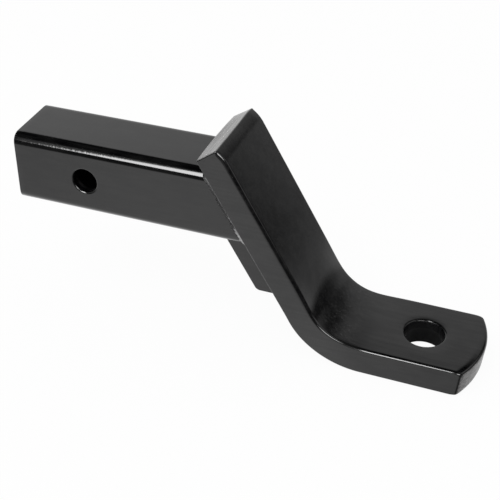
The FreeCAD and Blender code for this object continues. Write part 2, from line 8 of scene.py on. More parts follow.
import bmesh
import bpy
import numpy as np
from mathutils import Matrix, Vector


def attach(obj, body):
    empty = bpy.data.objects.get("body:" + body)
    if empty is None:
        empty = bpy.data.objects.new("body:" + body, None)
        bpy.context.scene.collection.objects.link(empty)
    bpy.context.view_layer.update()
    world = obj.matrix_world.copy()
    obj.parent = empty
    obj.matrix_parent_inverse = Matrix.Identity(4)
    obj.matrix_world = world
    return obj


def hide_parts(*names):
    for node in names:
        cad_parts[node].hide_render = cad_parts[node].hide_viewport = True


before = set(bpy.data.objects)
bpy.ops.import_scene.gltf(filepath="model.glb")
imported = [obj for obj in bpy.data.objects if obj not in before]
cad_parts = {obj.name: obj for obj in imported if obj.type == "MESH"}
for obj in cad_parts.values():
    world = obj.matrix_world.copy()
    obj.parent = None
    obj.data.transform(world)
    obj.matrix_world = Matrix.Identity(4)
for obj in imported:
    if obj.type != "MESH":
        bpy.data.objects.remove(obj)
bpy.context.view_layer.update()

# A welded ball mount in black paint: a square shank tube, a bent flat bar, a stiffener block and
# the weld beads. Shapes are worked out in millimetres in the frame of the CAD parts, origin on the
# hitch pin's axis, +X towards the ball end, +Z up, and become metres when a mesh is made.

log = logging.getLogger("ball mount")

Array = np.ndarray
Pair = tuple[float, float]
Triple = tuple[float, float, float]

MM = 0.001
MERGE_GAP = 2e-6  # metres; grid edges that meet lie closer than this
SAME = 1e-6  # millimetres; places closer than this are one
TINY = 1e-9  # keeps a division by a length from failing
CLEAR = 0.3  # millimetres from a rounding to the first plain station beside it
DEGREES = 180 / math.pi  # in a radian


class Body(Enum):
    """The rigid bodies of the row."""

    WHOLE = "root"


class Slot(Enum):
    """The record's material slots."""

    BAR = "bar_paint"
    TUBE = "tube_paint"
    WELD = "weld_paint"


# Shader maths


def operators(operation: str) -> tuple["Operator", "Operator"]:
    """An operator of Wire that adds a Math node, and its form with the other value on the left.

    Args:
        operation: the node's operation.

    Returns:
        The two methods.
    """

    def plain(wire: "Wire", other: "Value") -> "Wire":
        """The operation with the wire on the left."""
        return wire.tree.math(operation, wire, other)

    def turned(wire: "Wire", other: "Value") -> "Wire":
        """The operation with the wire on the right."""
        return wire.tree.math(operation, other, wire)

    return plain, turned


class Wire:
    """A shader socket that Python's operators work on; each adds the Math node that does it."""

    __add__, __radd__ = operators("ADD")
    __sub__, __rsub__ = operators("SUBTRACT")
    __mul__, __rmul__ = operators("MULTIPLY")
    __pow__, __rpow__ = operators("POWER")

    def __init__(self, tree: "ShaderTree", socket: bpy.types.NodeSocket) -> None:
        """Keeps the socket and the tree that it belongs to."""
        self.tree = tree
        self.socket = socket

    def __abs__(self) -> "Wire":
        """Size without the sign."""
        return self.tree.math("ABSOLUTE", self)


Value = Wire | float
Operator = Callable[[Wire, Value], Wire]


@dataclass(frozen=True)
class Grain:
    """A noise: the size of its grain in millimetres, what the place is multiplied by first (less
    than 1 draws the grain out along that axis), and the number and weight of its finer layers."""

    size: float
    squeeze: Triple = (1.0, 1.0, 1.0)
    detail: float = 3.0
    rough: float = 0.5


class ShaderTree:
    """Adds nodes to the node tree of one material or world."""

    def __init__(self, owner: bpy.types.Material | bpy.types.World) -> None:
        """Gives the owner an empty tree.

        Args:
            owner: the material or world.
        """
        owner.use_nodes = True
        self.tree = owner.node_tree
        self.tree.nodes.clear()

    def add(
        self,
        kind: str,
        settings: Mapping[str, Any] | None = None,
        inputs: Mapping[str | int, Any] | None = None,
    ) -> bpy.types.Node:
        """Adds one node.

        Args:
            kind: the node's type.
            settings: properties of the node, set first.
            inputs: values or wires of its sockets, by name or number.

        Returns:
            The node.
        """
        node = self.tree.nodes.new(kind)
        for name, value in (settings or {}).items():
            if name == "stops":
                self._set_stops(node.color_ramp, value)
            else:
                setattr(node, name, value)
        for key, value in (inputs or {}).items():
            if isinstance(value, Wire):
                self.tree.links.new(value.socket, node.inputs[key])
            else:
                node.inputs[key].default_value = value
        return node

    @staticmethod
    def _set_stops(ramp: bpy.types.ColorRamp, stops: Sequence[Pair]) -> None:
        """Gives a colour ramp its stops.

        Args:
            ramp: the ramp.
            stops: places and greys, in ascending order of place.
        """
        while len(ramp.elements) < len(stops):
            ramp.elements.new(1.0)
        for element, (place, grey) in zip(ramp.elements, stops):
            element.position = place
            element.color = (grey, grey, grey, 1.0)

    def out(self, node: bpy.types.Node, output: str | int = 0) -> Wire:
        """One output of a node as a wire."""
        return Wire(self, node.outputs[output])

    def math(self, operation: str, *values: Value) -> Wire:
        """A Math node on wires or numbers."""
        settings = {"operation": operation}
        return self.out(self.add("ShaderNodeMath", settings, dict(enumerate(values))))

    def larger(self, first: Value, second: Value) -> Wire:
        """The larger of two values."""
        return self.math("MAXIMUM", first, second)

    def vector(self, operation: str, first: Wire, second: Triple) -> Wire:
        """A Vector Math node on a wire and a vector."""
        inputs = {0: first, 1: second}
        return self.out(self.add("ShaderNodeVectorMath", {"operation": operation}, inputs))

    def split(self, place: Wire) -> tuple[Wire, Wire, Wire]:
        """The three coordinates of a place."""
        node = self.add("ShaderNodeSeparateXYZ", {}, {0: place})
        return self.out(node, "X"), self.out(node, "Y"), self.out(node, "Z")

    def coordinates(self, output: str) -> Wire:
        """One output of Texture Coordinate."""
        return self.out(self.add("ShaderNodeTexCoord"), output)

    def ray(self, kind: str) -> Wire:
        """1 for rays of a kind, such as Glossy, and 0 for all others."""
        return self.out(self.add("ShaderNodeLightPath"), f"Is {kind} Ray")

    def seen_directly(self) -> Wire:
        """1 for rays from the camera and through glass, and 0 for all others."""
        return self.larger(self.ray("Camera"), self.ray("Transmission"))

    def step(self, value: Value, low: float, high: float) -> Wire:
        """0 below low, 1 above high and a smooth rise between them; high below low turns it round."""
        inputs = {"Value": value, "From Min": low, "From Max": high}
        return self.out(self.add("ShaderNodeMapRange", {"interpolation_type": "SMOOTHSTEP"}, inputs))

    def mix(self, factor: Value, first: Wire | Triple, second: Wire | Triple) -> Wire:
        """A blend of two colours.

        Args:
            factor: 0 for the first colour, 1 for the second.
            first: a wire or a colour.
            second: a wire or a colour.

        Returns:
            The blended colour.
        """
        pair = [tone if isinstance(tone, Wire) else (*tone, 1.0) for tone in (first, second)]
        inputs = {0: factor, 6: pair[0], 7: pair[1]}  # the colour pair among the node's sockets
        return self.out(self.add("ShaderNodeMix", {"data_type": "RGBA"}, inputs), 2)

    def ramp(self, factor: Value, stops: Sequence[Pair]) -> Wire:
        """A grey that runs straight between stops of place and grey."""
        return self.out(self.add("ShaderNodeValToRGB", {"stops": stops}, {"Fac": factor}))

    def noise(self, place: Wire, grain: Grain) -> Wire:
        """Noise about 0.5 by a place in millimetres.

        Args:
            place: the place.
            grain: the noise's size, squeeze and layers.

        Returns:
            The noise's value.
        """
        inputs = {
            "Vector": self.vector("MULTIPLY", place, grain.squeeze),
            "Scale": 1.0 / grain.size,
            "Detail": grain.detail,
            "Roughness": grain.rough,
        }
        return self.out(self.add("ShaderNodeTexNoise", {}, inputs))

    def bump(self, height: Value) -> Wire:
        """A normal bent by a height in millimetres."""
        inputs = {"Height": height, "Distance": MM, "Strength": 1.0}
        return self.out(self.add("ShaderNodeBump", {}, inputs))

    def blend_shaders(self, factor: Value, first: Wire, second: Wire) -> Wire:
        """The first shader at a factor of 0, the second at 1."""
        return self.out(self.add("ShaderNodeMixShader", {}, {0: factor, 1: first, 2: second}))

    def finish(self, kind: str, surface: Wire) -> None:
        """Feeds the output node, of the Material or the World kind."""
        self.add(f"ShaderNodeOutput{kind}", {}, {"Surface": surface})


# Numbers and grids of points


def fade(distance: Array, length: float) -> Array:
    """1 where the distance is 0 or less, and straight down to 0 where it is the length."""
    return np.clip(1 - distance / length, 0, 1)


def blend(first: Array | float, second: Array | float, share: Array) -> Array:
    """The first value at a share of 0, the second at 1, and straight between them."""
    return first + (second - first) * share


def edge_steps(radius: float, count: int) -> Array:
    """Distances from an edge: radius times one less the tangent of even angles from 45 to 0 degrees."""
    # They become even steps round the edge once it is rounded to that radius
    return radius * (1 - np.tan(np.linspace(math.pi / 4, 0, count)))


def join(*parts: Sequence[float] | Array) -> Array:
    """Ascending values of several lists, with repeats taken out."""
    values = np.sort(np.concatenate([np.asarray(part, float) for part in parts]))
    return values[np.insert(np.diff(values) > SAME, 0, True)]


def unit(vectors: Array) -> Array:
    """The vectors at a length of 1."""
    return vectors / np.linalg.norm(vectors, axis=-1, keepdims=True)


def rounded(points: Array, low: Array, high: Array, reach: Array, power: float = 2.0) -> Array:
    """Points of a box's surface moved onto the same box with rounded edges: the nearest point of
    the box shrunk by the reach, plus the way from it to the point, counted in reaches and divided
    by the root of the sum of its parts' powers.

    Args:
        points: points on the sharp box, any shape by 3.
        low: the box's lowest corner.
        high: its highest corner.
        reach: how far the rounding goes into the faces, that shape by 1 or by 3.
        power: 2 for a round edge, more for one with soft shoulders and a tighter middle.

    Returns:
        The moved points.
    """
    core = np.clip(points, low + reach, high - reach)
    arm = (points - core) / reach
    length = np.sum(np.abs(arm) ** power, axis=-1, keepdims=True) ** (1 / power)
    return core + reach * arm / np.maximum(length, TINY)


def lattice(*coordinates: Array | float) -> Array:
    """Points from their coordinates, which broadcast to a row or to rows by columns."""
    return np.stack(np.broadcast_arrays(*coordinates), axis=-1).astype(float)


@dataclass(frozen=True)
class Patch:
    """The square of a wall's grid that a bore's own grid replaces, about the bore's axis."""

    half: float
    count: int

    def run(self) -> Array:
        """Places across the square."""
        return np.linspace(-self.half, self.half, self.count + 1)

    def loop(self) -> Array:
        """Points round the square, along the low side first and then counter-clockwise.

        Returns:
            Four times the count of points by 2, and the first one again.
        """
        run = self.run()[:-1]
        edge = np.full(self.count, self.half)
        sides = ((run, -edge), (edge, run), (-run, edge), (-edge, -run))
        loop = np.vstack([lattice(*side) for side in sides])
        return np.vstack([loop, loop[:1]])


@dataclass(frozen=True)
class Bore:
    """A round hole through a wall, set in a patch of the wall's grid on either side.

    Each ring is a radius and a depth; the first rings lie on the near face and the last ones on
    the far face."""

    patch: Patch
    rings: tuple[Pair, ...]
    fans: int = 4

    def grid(self) -> Array:
        """The patch's loop drawn towards the circle in even shares, the rings themselves, and the
        same back to the far loop.

        Returns:
            Rings by points round the hole by (across, up, depth), closed round the hole.
        """
        square = self.patch.loop()
        circle = unit(square)
        shares = np.linspace(0, 1, self.fans + 1)[:-1, None, None]
        near, far = self.rings[0], self.rings[-1]
        rows = [
            self._at(blend(square, circle * near[0], shares), near[1]),
            *(self._at(circle[None] * radius, depth) for radius, depth in self.rings),
            self._at(blend(square, circle * far[0], shares[::-1]), far[1]),
        ]
        return np.concatenate(rows)

    @staticmethod
    def _at(points: Array, depth: float) -> Array:
        """Adds the depth as a third coordinate."""
        return np.concatenate([points, np.full(points.shape[:-1] + (1,), depth)], axis=-1)


def rim_rings(radius: float, rim: float, depth: float, inward: bool, count: int = 6) -> list[Pair]:
    """Rings of a quarter circle between a flat face and a bore: radius plus rim times one less the
    sine of the angle, at depth plus or minus rim times one less its cosine.

    Args:
        radius: the bore's radius.
        rim: the quarter circle's radius.
        depth: depth of the flat face.
        inward: True from the near face into the bore, False from the bore onto the far face.
        count: number of rings.

    Returns:
        Radii and depths.
    """
    side = 1.0 if inward else -1.0
    angles = np.linspace(0, math.pi / 2, count)
    radii = radius + rim * (1 - np.sin(angles))
    depths = depth + side * rim * (1 - np.cos(angles))
    rings = list(zip(radii.tolist(), depths.tolist()))
    return rings if inward else rings[::-1]


# Objects


def put(name: str, data: bpy.types.ID) -> bpy.types.Object:
    """Makes an object of a mesh, camera or light, and puts it in the scene.

    Args:
        name: the object's name.
        data: what it shows.

    Returns:
        The object, at the origin.
    """
    obj = bpy.data.objects.new(name, data)
    bpy.context.scene.collection.objects.link(obj)
    return obj


class Shell:
    """Grids of points in millimetres, gathered into one closed surface."""

    def __init__(self) -> None:
        """Starts with no points."""
        self.points: list[Array] = []
        self.faces: list[Array] = []
        self.count = 0

    def add(self, grid: Array, drop: Array | None = None) -> None:
        """Adds a grid; a face joins each four neighbours.

        Args:
            grid: points, rows by columns by 3.
            drop: True for each face, rows - 1 by columns - 1, that isn't made.
        """
        rows, columns = grid.shape[:2]
        index = np.arange(rows * columns).reshape(rows, columns) + self.count
        corners = [index[:-1, :-1], index[1:, :-1], index[1:, 1:], index[:-1, 1:]]
        faces = np.stack(corners, axis=-1)
        self.faces.append(faces.reshape(-1, 4) if drop is None else faces[~drop])
        self.points.append(grid.reshape(-1, 3))
        self.count += rows * columns

    def piece(self, name: str) -> bpy.types.Object:
        """Makes the object: grids joined where their points meet, faces turned outwards.

        Args:
            name: the object's name.

        Returns:
            The object, smooth, at the origin.
        """
        mesh = bpy.data.meshes.new(name)
        points = np.concatenate(self.points) * MM
        mesh.from_pydata(points.tolist(), [], np.concatenate(self.faces).tolist())
        work = bmesh.new()
        work.from_mesh(mesh)
        bmesh.ops.remove_doubles(work, verts=work.verts, dist=MERGE_GAP)
        bmesh.ops.dissolve_degenerate(work, edges=work.edges, dist=MERGE_GAP)
        bmesh.ops.recalc_face_normals(work, faces=work.faces)
        loose = sum(not edge.is_manifold for edge in work.edges)
        work.to_mesh(mesh)
        work.free()
        mesh.polygons.foreach_set("use_smooth", np.ones(len(mesh.polygons), bool))
        log.info("%s: %d faces, %d open edges", name, len(mesh.polygons), loose)
        return put(name, mesh)


def dress(
    piece: bpy.types.Object, paint: bpy.types.Material, node: str
) -> bpy.types.Object:
    """Paints a piece, ties it to the body and lets it stand for its CAD node.

    Args:
        piece: the new piece.
        paint: its material.
        node: the CAD node that it replaces.

    Returns:
        The piece.
    """
    piece.data.materials.append(paint)
    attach(piece, Body.WHOLE.value)
    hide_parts(node)
    return piece


# Sub-assemblies


@dataclass(frozen=True)
class BarLine:
    """The bent bar's face in side view: leg, bend and platform.

    The corner is where the faces of leg and platform would meet, as x and z; the leg's length
    counts from there, the tip is an x, and the easing is the length over which the bend's
    curvature comes and goes."""

    corner: Pair = (175.6, -82.55)
    slope: float = math.radians(60.0)
    bend: float = 39.0
    easing: float = 22.0
    leg: float = 150.05
    tip: float = 274.2

    @property
    def up(self) -> Array:
        """Unit vector up the leg, as x and z."""
        return np.array([-math.cos(self.slope), math.sin(self.slope)])

    @property
    def out(self) -> Array:
        """Unit normal of the leg's face, as x and z."""
        return np.array([math.sin(self.slope), math.cos(self.slope)])

    @property
    def setback(self) -> float:
        """Corner to either end of the bend."""
        return self.bend * math.tan(self.slope / 2)

    @property
    def centre(self) -> Array:
        """The bend's centre, as x and z."""
        return np.array(self.corner) + np.array([self.setback, self.bend])

    @property
    def leg_end(self) -> float:
        """Length from the top end to the bend."""
        return self.leg - self.setback

    @property
    def bend_end(self) -> float:
        """Length from the top end to the platform."""
        return self.leg_end + self.bend * self.slope

    @property
    def length(self) -> float:
        """Whole length of the face."""
        return self.at(self.tip)

    def at(self, x: float) -> float:
        """Length at which the platform has that x."""
        return self.bend_end + x - self.corner[0] - self.setback

    def eased(self, along: Array) -> Array:
        """How far the face stands in from a plain arc when the bend begins and ends gently.

        The curvature rises straight over the easing's length. Counted in that length from the
        middle of the rise, the offset grows as a sixth of the third power up to there and
        mirrors itself after it, up to a twenty-fourth.

        Args:
            along: lengths from the top end.

        Returns:
            Offsets towards the bend's centre.
        """
        total = np.full_like(along, -1 / 24)
        for gap in (along - self.leg_end, self.bend_end - along):
            rise = np.clip(gap / self.easing, -0.5, 0.5)
            far = 0.5 - np.abs(rise)
            total += np.where(rise < 0, far**3 / 6, 1 / 24 - far**3 / 6)
        return total * self.easing**2 / self.bend

    def carry(self, along: Array, depth: Array) -> tuple[Array, Array]:
        """Side view of points at a length along the face and a depth under it.

        The face's point is the corner plus the way still to go up the leg, the bend's centre less
        its radius along the normal, or the bend's end plus the way past it; the normal turns
        evenly in the bend, and the depth is taken against it.

        Args:
            along: lengths from the top end.
            depth: depths under the face.

        Returns:
            Their x and z.
        """
        before = np.minimum(along, self.leg_end)
        angle = self.slope - np.clip((along - self.leg_end) / self.bend, 0, self.slope)
        after = np.maximum(along - self.bend_end, 0)
        normal = np.stack([np.sin(angle), np.cos(angle)])
        start = (self.centre - self.out * self.bend)[:, None, None]
        leg = self.up[:, None, None] * (self.leg_end - before)
        turn = self.bend * (self.out[:, None, None] - normal)
        ahead = np.array([1.0, 0.0])[:, None, None]
        x, z = start + leg + turn + ahead * after - normal * depth
        return x, z


@dataclass(frozen=True)
class Drawbar:
    """The bent flat bar with its sheared ends and the ball hole.

    A reach is how far an edge's rounding goes into a face: face_reach across the front, the
    others down the side or along the bar. A roll is the stretch that a shear pulled over and the
    depth of that pull, and a drop the length and the depth that a corner loses. A bell is a shift
    up the leg from the bend's middle and a width in lengths of the bend. The crown has a height
    and a bell for the near side and for the far side. A fade is its length, or where it starts,
    counted from the end of the leg, and its length."""

    line: BarLine = BarLine()
    width: float = 64.3
    thickness: float = 19.05
    # Edges
    face_reach: float = 2.3
    side_reach: float = 1.3
    leg_reach: float = 4.1
    back_reach: float = 0.9
    tip_reach: float = 3.0
    corner_reach: float = 3.1
    top_reach: float = 0.9
    edge_power: float = 2.5
    leg_fade: Pair = (-10.0, 25.0)
    tip_fade: float = 9.0
    top_fade: float = 2.0
    # Ball hole
    hole_x: float = 233.3
    hole_radius: float = 13.5
    hole_rim: float = 1.4
    hole_rim_under: float = 0.5
    shear_share: float = 0.36
    breakout: float = 0.3
    breakout_run: float = 0.5
    sheared_shares: tuple[float, ...] = (0.3, 0.6, 0.9, 1.0)
    broken_shares: tuple[float, ...] = (0.0, 0.3, 0.7)
    dish: float = 0.2
    dish_width: float = 8.0
    # Sheared ends
    tip_radius: float = 66.0
    tip_skew: float = 0.05
    tip_roll: Pair = (5.0, 0.9)
    tip_lean: float = math.radians(4.5)
    top_roll: Pair = (11.0, 2.6)
    top_lean: float = math.radians(6.0)
    top_lean_fade: float = 25.0
    top_bow: float = 0.8
    top_drop: Pair = (1.1, 0.6)
    top_drop_width: float = 9.0
    top_drop_fade: float = 12.0
    # Bend
    bulge: float = 0.45
    bulge_bell: Pair = (5.0, 0.46)
    crown: Pair = (1.5, 2.1)
    crown_bells: tuple[Pair, Pair] = ((11.0, 0.38), (1.0, 0.5))
    crown_rise: float = 0.35
    swell: float = 0.5
    swell_fade: Pair = (-6.0, 18.0)
    bend_swell: float = 0.35
    # Stations: at the top, on the leg, in the bend, before and past the bore's patch; steps in
    # the roundings; and steps on the flats, across and deep
    patch: Patch = Patch(18.0, 24)
    stations: tuple[int, int, int, int, int] = (24, 16, 48, 3, 14)
    top_stretch: float = 18.0
    bend_lead: float = 8.0
    sharp_steps: int = 6
    soft_steps: int = 11
    leg_steps: int = 12
    flat_steps: tuple[int, int] = (8, 9)

    def build(self, paint: bpy.types.Material) -> bpy.types.Object:
        """Makes the bar from the six faces of a straight blank and the bore.

        Args:
            paint: its material.

        Returns:
            The piece.
        """
        along, across, deep = self._along(), self._across(), self._deep()
        half, hole = self.width / 2, self.line.at(self.hole_x)
        in_length, in_width = (
            np.abs((places[1:] + places[:-1]) / 2 - middle) < self.patch.half
            for places, middle in ((along, hole), (across, 0.0))
        )
        drop = in_length[:, None] & in_width[None, :]
        shell = Shell()
        for depth in (0.0, self.thickness):
            shell.add(self._place(lattice(along[:, None], across[None, :], depth)), drop)
        for side in (-half, half):
            shell.add(self._place(lattice(along[:, None], side, deep[None, :])))
        for stop in (0.0, self.line.length):
            shell.add(self._place(lattice(stop, across[:, None], deep[None, :])))
        shell.add(self._place(self._bore().grid() + np.array([hole, 0, 0]), soften=False))
        return dress(shell.piece("drawbar_steel"), paint, "drawbar")

    def back_x(self, z: Array | float) -> Array | float:
        """X of the leg's back face at a height: the corner less the thickness and the rise's run.

        Args:
            z: heights.

        Returns:
            Their x.
        """
        line = self.line
        rise = (z - line.corner[1]) * math.cos(line.slope)
        return line.corner[0] - (self.thickness + rise) / math.sin(line.slope)

    def _along(self) -> Array:
        """Lengths of the blank's stations, closer in the roll at the top, the bend and the tip.

        Returns:
            Ascending lengths.
        """
        line, hole = self.line, self.line.at(self.hole_x)
        bend, platform = line.leg_end - self.bend_lead, line.bend_end + self.bend_lead
        near, far = hole - self.patch.half, hole + self.patch.half
        top_count, leg_count, bend_count, near_count, tip_count = self.stations
        return join(
            edge_steps(self.top_reach, self.sharp_steps),
            np.linspace(self.top_reach + CLEAR, self.top_stretch, top_count),
            np.linspace(self.top_stretch, bend, leg_count),
            np.linspace(bend, platform, bend_count),
            np.linspace(platform, near, near_count),
            hole + self.patch.run(),
            np.linspace(far, line.length - self.tip_reach - CLEAR, tip_count),
            line.length - edge_steps(self.tip_reach, self.soft_steps),
        )

    def _across(self) -> Array:
        """Places across the blank.

        Returns:
            Ascending places.
        """
        half = self.width / 2
        steps = half - edge_steps(self.face_reach, self.soft_steps)
        flat = np.linspace(self.patch.half, half - self.face_reach - CLEAR, self.flat_steps[0])
        return join(-steps, -flat, self.patch.run(), flat, steps)

    def _deep(self) -> Array:
        """Depths in the blank.

        Returns:
            Ascending depths.
        """
        front = edge_steps(self.leg_reach, self.leg_steps)
        back = self.thickness - edge_steps(self.back_reach, self.sharp_steps)
        low, high = self.leg_reach + CLEAR, self.thickness - self.back_reach - CLEAR
        return join(front, np.linspace(low, high, self.flat_steps[1]), back)

    def _bore(self) -> Bore:
        """The punched hole: rolled rim, sheared band, then a slightly wider broken-out band.

        Returns:
            The bore.
        """
        radius, wide = self.hole_radius, self.hole_radius + self.breakout
        sheared, under = self.thickness * self.shear_share, self.hole_rim_under
        rings = rim_rings(radius, self.hole_rim, 0.0, True)
        rings += [(radius, sheared * share) for share in self.sheared_shares]
        start, low = sheared + self.breakout_run, self.thickness - under
        rings += [(wide, start + (low - start) * share) for share in self.broken_shares]
        rings += rim_rings(wide, under, self.thickness, False)
        first = (radius + self.hole_rim + CLEAR, 0.0)
        last = (wide + under + CLEAR, self.thickness)
        return Bore(self.patch, (first, *rings, last))

    def _place(self, blank: Array, soften: bool = True) -> Array:
        """Carries points of the straight blank onto the bent bar. In the bend the inner side is
        wider than the blank and the back narrower.

        Args:
            blank: rows by columns by (length, across, depth).
            soften: whether the blank's edges get their rounding.

        Returns:
            Rows by columns by 3, in the frame.
        """
        blank = self._soften(blank) if soften else blank
        along, across, depth = (blank[..., axis] for axis in range(3))
        face = 1 - depth / self.thickness
        bulge = self.bulge / (self.width / 2) * self._bell(along, self.bulge_bell)
        wide = across * (1 + bulge * (2 * face - 1))
        depth = depth + self._sink(along, across) * face + self._swelling(along) * (1 - face)
        along, depth = self._shear_tip(along, across, depth, face)
        along, depth = self._shear_top(along, across, depth, face)
        x, z = self.line.carry(along, depth)
        return lattice(x, wide, z)

    def _sink(self, along: Array, across: Array) -> Array:
        """How far the face sinks: less the eased bend and the rise in the bend's middle, plus a
        crown by the square of the place across, and a dish round the ball hole by the square of
        what is left of its width.

        Args:
            along: lengths from the top end.
            across: places across.

        Returns:
            Depths.
        """
        line, half = self.line, self.width / 2
        sink = -self.crown_rise * self._bell(along, self.bulge_bell) - line.eased(along)
        for side, crown, bell in zip((-1, 1), self.crown, self.crown_bells):
            reach = np.clip(side * across / half, 0, None)
            sink = sink + crown * self._bell(along, bell) * reach**2
        out = np.hypot(along - line.at(self.hole_x), across) - self.hole_radius
        return sink + self.dish * fade(out, self.dish_width) ** 2

    def _swelling(self, along: Array) -> Array:
        """How far the back stands out: a smooth rise from the end of the leg on, and a bell in
        the bend.

        Args:
            along: lengths from the top end.

        Returns:
            Depths.
        """
        start, length = self.swell_fade
        share = 1 - fade(along - self.line.leg_end - start, length)
        rise = share * share * (3 - 2 * share)
        return self.swell * rise + self.bend_swell * self._bell(along, self.bulge_bell)

    def _shear_tip(
        self, along: Array, across: Array, depth: Array, face: Array
    ) -> tuple[Array, Array]:
        """Scales the stretch past the bore to end on the tip's slightly turned arc, leans the end
        face by the tangent of its angle and rolls its upper edge over.

        Args:
            along: lengths from the top end.
            across: places across.
            depth: depths under the face.
            face: 1 on the front and 0 on the back.

        Returns:
            The new lengths and depths.
        """
        line, radius = self.line, self.tip_radius
        start = line.at(self.hole_x) + self.patch.half
        arc = radius - np.sqrt(radius**2 - across**2) - self.tip_skew * across
        lean = np.maximum(depth - self.tip_roll[1], 0) * math.tan(self.tip_lean)
        share = np.clip((along - start) / (line.length - start), 0, 1)
        along = along - share * (arc + lean)
        to_tip = line.length - arc - lean - along
        return along, depth + self._roll(to_tip, self.tip_roll) * face

    def _shear_top(
        self, along: Array, across: Array, depth: Array, face: Array
    ) -> tuple[Array, Array]:
        """Rolls the top's front edge over, leans the end face by the tangent of its angle, bows
        its back edge, and drops its far front corner by a square across the bar.

        Args:
            along: lengths from the top end.
            across: places across.
            depth: depths under the face.
            face: 1 on the front and 0 on the back.

        Returns:
            The new lengths and depths.
        """
        half = self.width / 2
        depth = depth + self._roll(along, self.top_roll) * face
        lean = np.maximum(depth - self.top_roll[1], 0) * math.tan(self.top_lean)
        lean = lean - self.top_bow * (1 - face) ** 2 * (1 - (across / half) ** 2)
        drop = fade(half - across, self.top_drop_width) ** 2 * (1 - depth / self.thickness)
        drop = drop * fade(along, self.top_drop_fade)
        along = along + lean * fade(along, self.top_lean_fade) + drop * self.top_drop[0]
        return along, depth + drop * self.top_drop[1]

    def _bell(self, along: Array, bell: Pair) -> Array:
        """A bell curve along the bar.

        Args:
            along: lengths from the top end.
            bell: shift up the leg from the bend's middle, and width in lengths of the bend.

        Returns:
            Values up to 1.
        """
        line, (shift, width) = self.line, bell
        middle = (line.leg_end + line.bend_end) / 2 - shift
        return np.exp(-(((along - middle) / (width * line.bend * line.slope)) ** 2))

    def _soften(self, blank: Array) -> Array:
        """Rounds the blank's edges; the rounding shrinks from the face to the back and towards
        the crisp top end, goes further down the leg's sides than the platform's, and is longest
        along the bar at the tip.

        Args:
            blank: rows by columns by (length, across, depth).

        Returns:
            The moved points.
        """
        line, half, thick = self.line, self.width / 2, self.thickness
        along, back = blank[..., 0], np.clip(blank[..., 2] / thick, 0, 1)
        start, length = self.leg_fade
        leg = fade(along - line.leg_end - start, length)
        tip, top = fade(line.length - along, self.tip_fade), fade(along, self.top_fade)
        side = blend(self.face_reach, self.back_reach, back)
        side = blend(side, self.corner_reach, tip)
        deep = blend(blend(self.side_reach, self.leg_reach, leg), self.back_reach, back)
        deep = blend(blend(deep, self.corner_reach, tip**2), self.top_reach, top)
        ends = np.where(along < line.length / 2, self.top_reach, self.tip_reach)
        low, high = np.array([0, -half, 0]), np.array([line.length, half, thick])
        return rounded(blank, low, high, np.stack([ends, side, deep], -1), self.edge_power)

    @staticmethod
    def _roll(distance: Array, roll: Pair) -> Array:
        """Sinking by a sheared end: the roll's depth times the share of its length to go, squared."""
        return roll[1] * fade(distance, roll[0]) ** 2


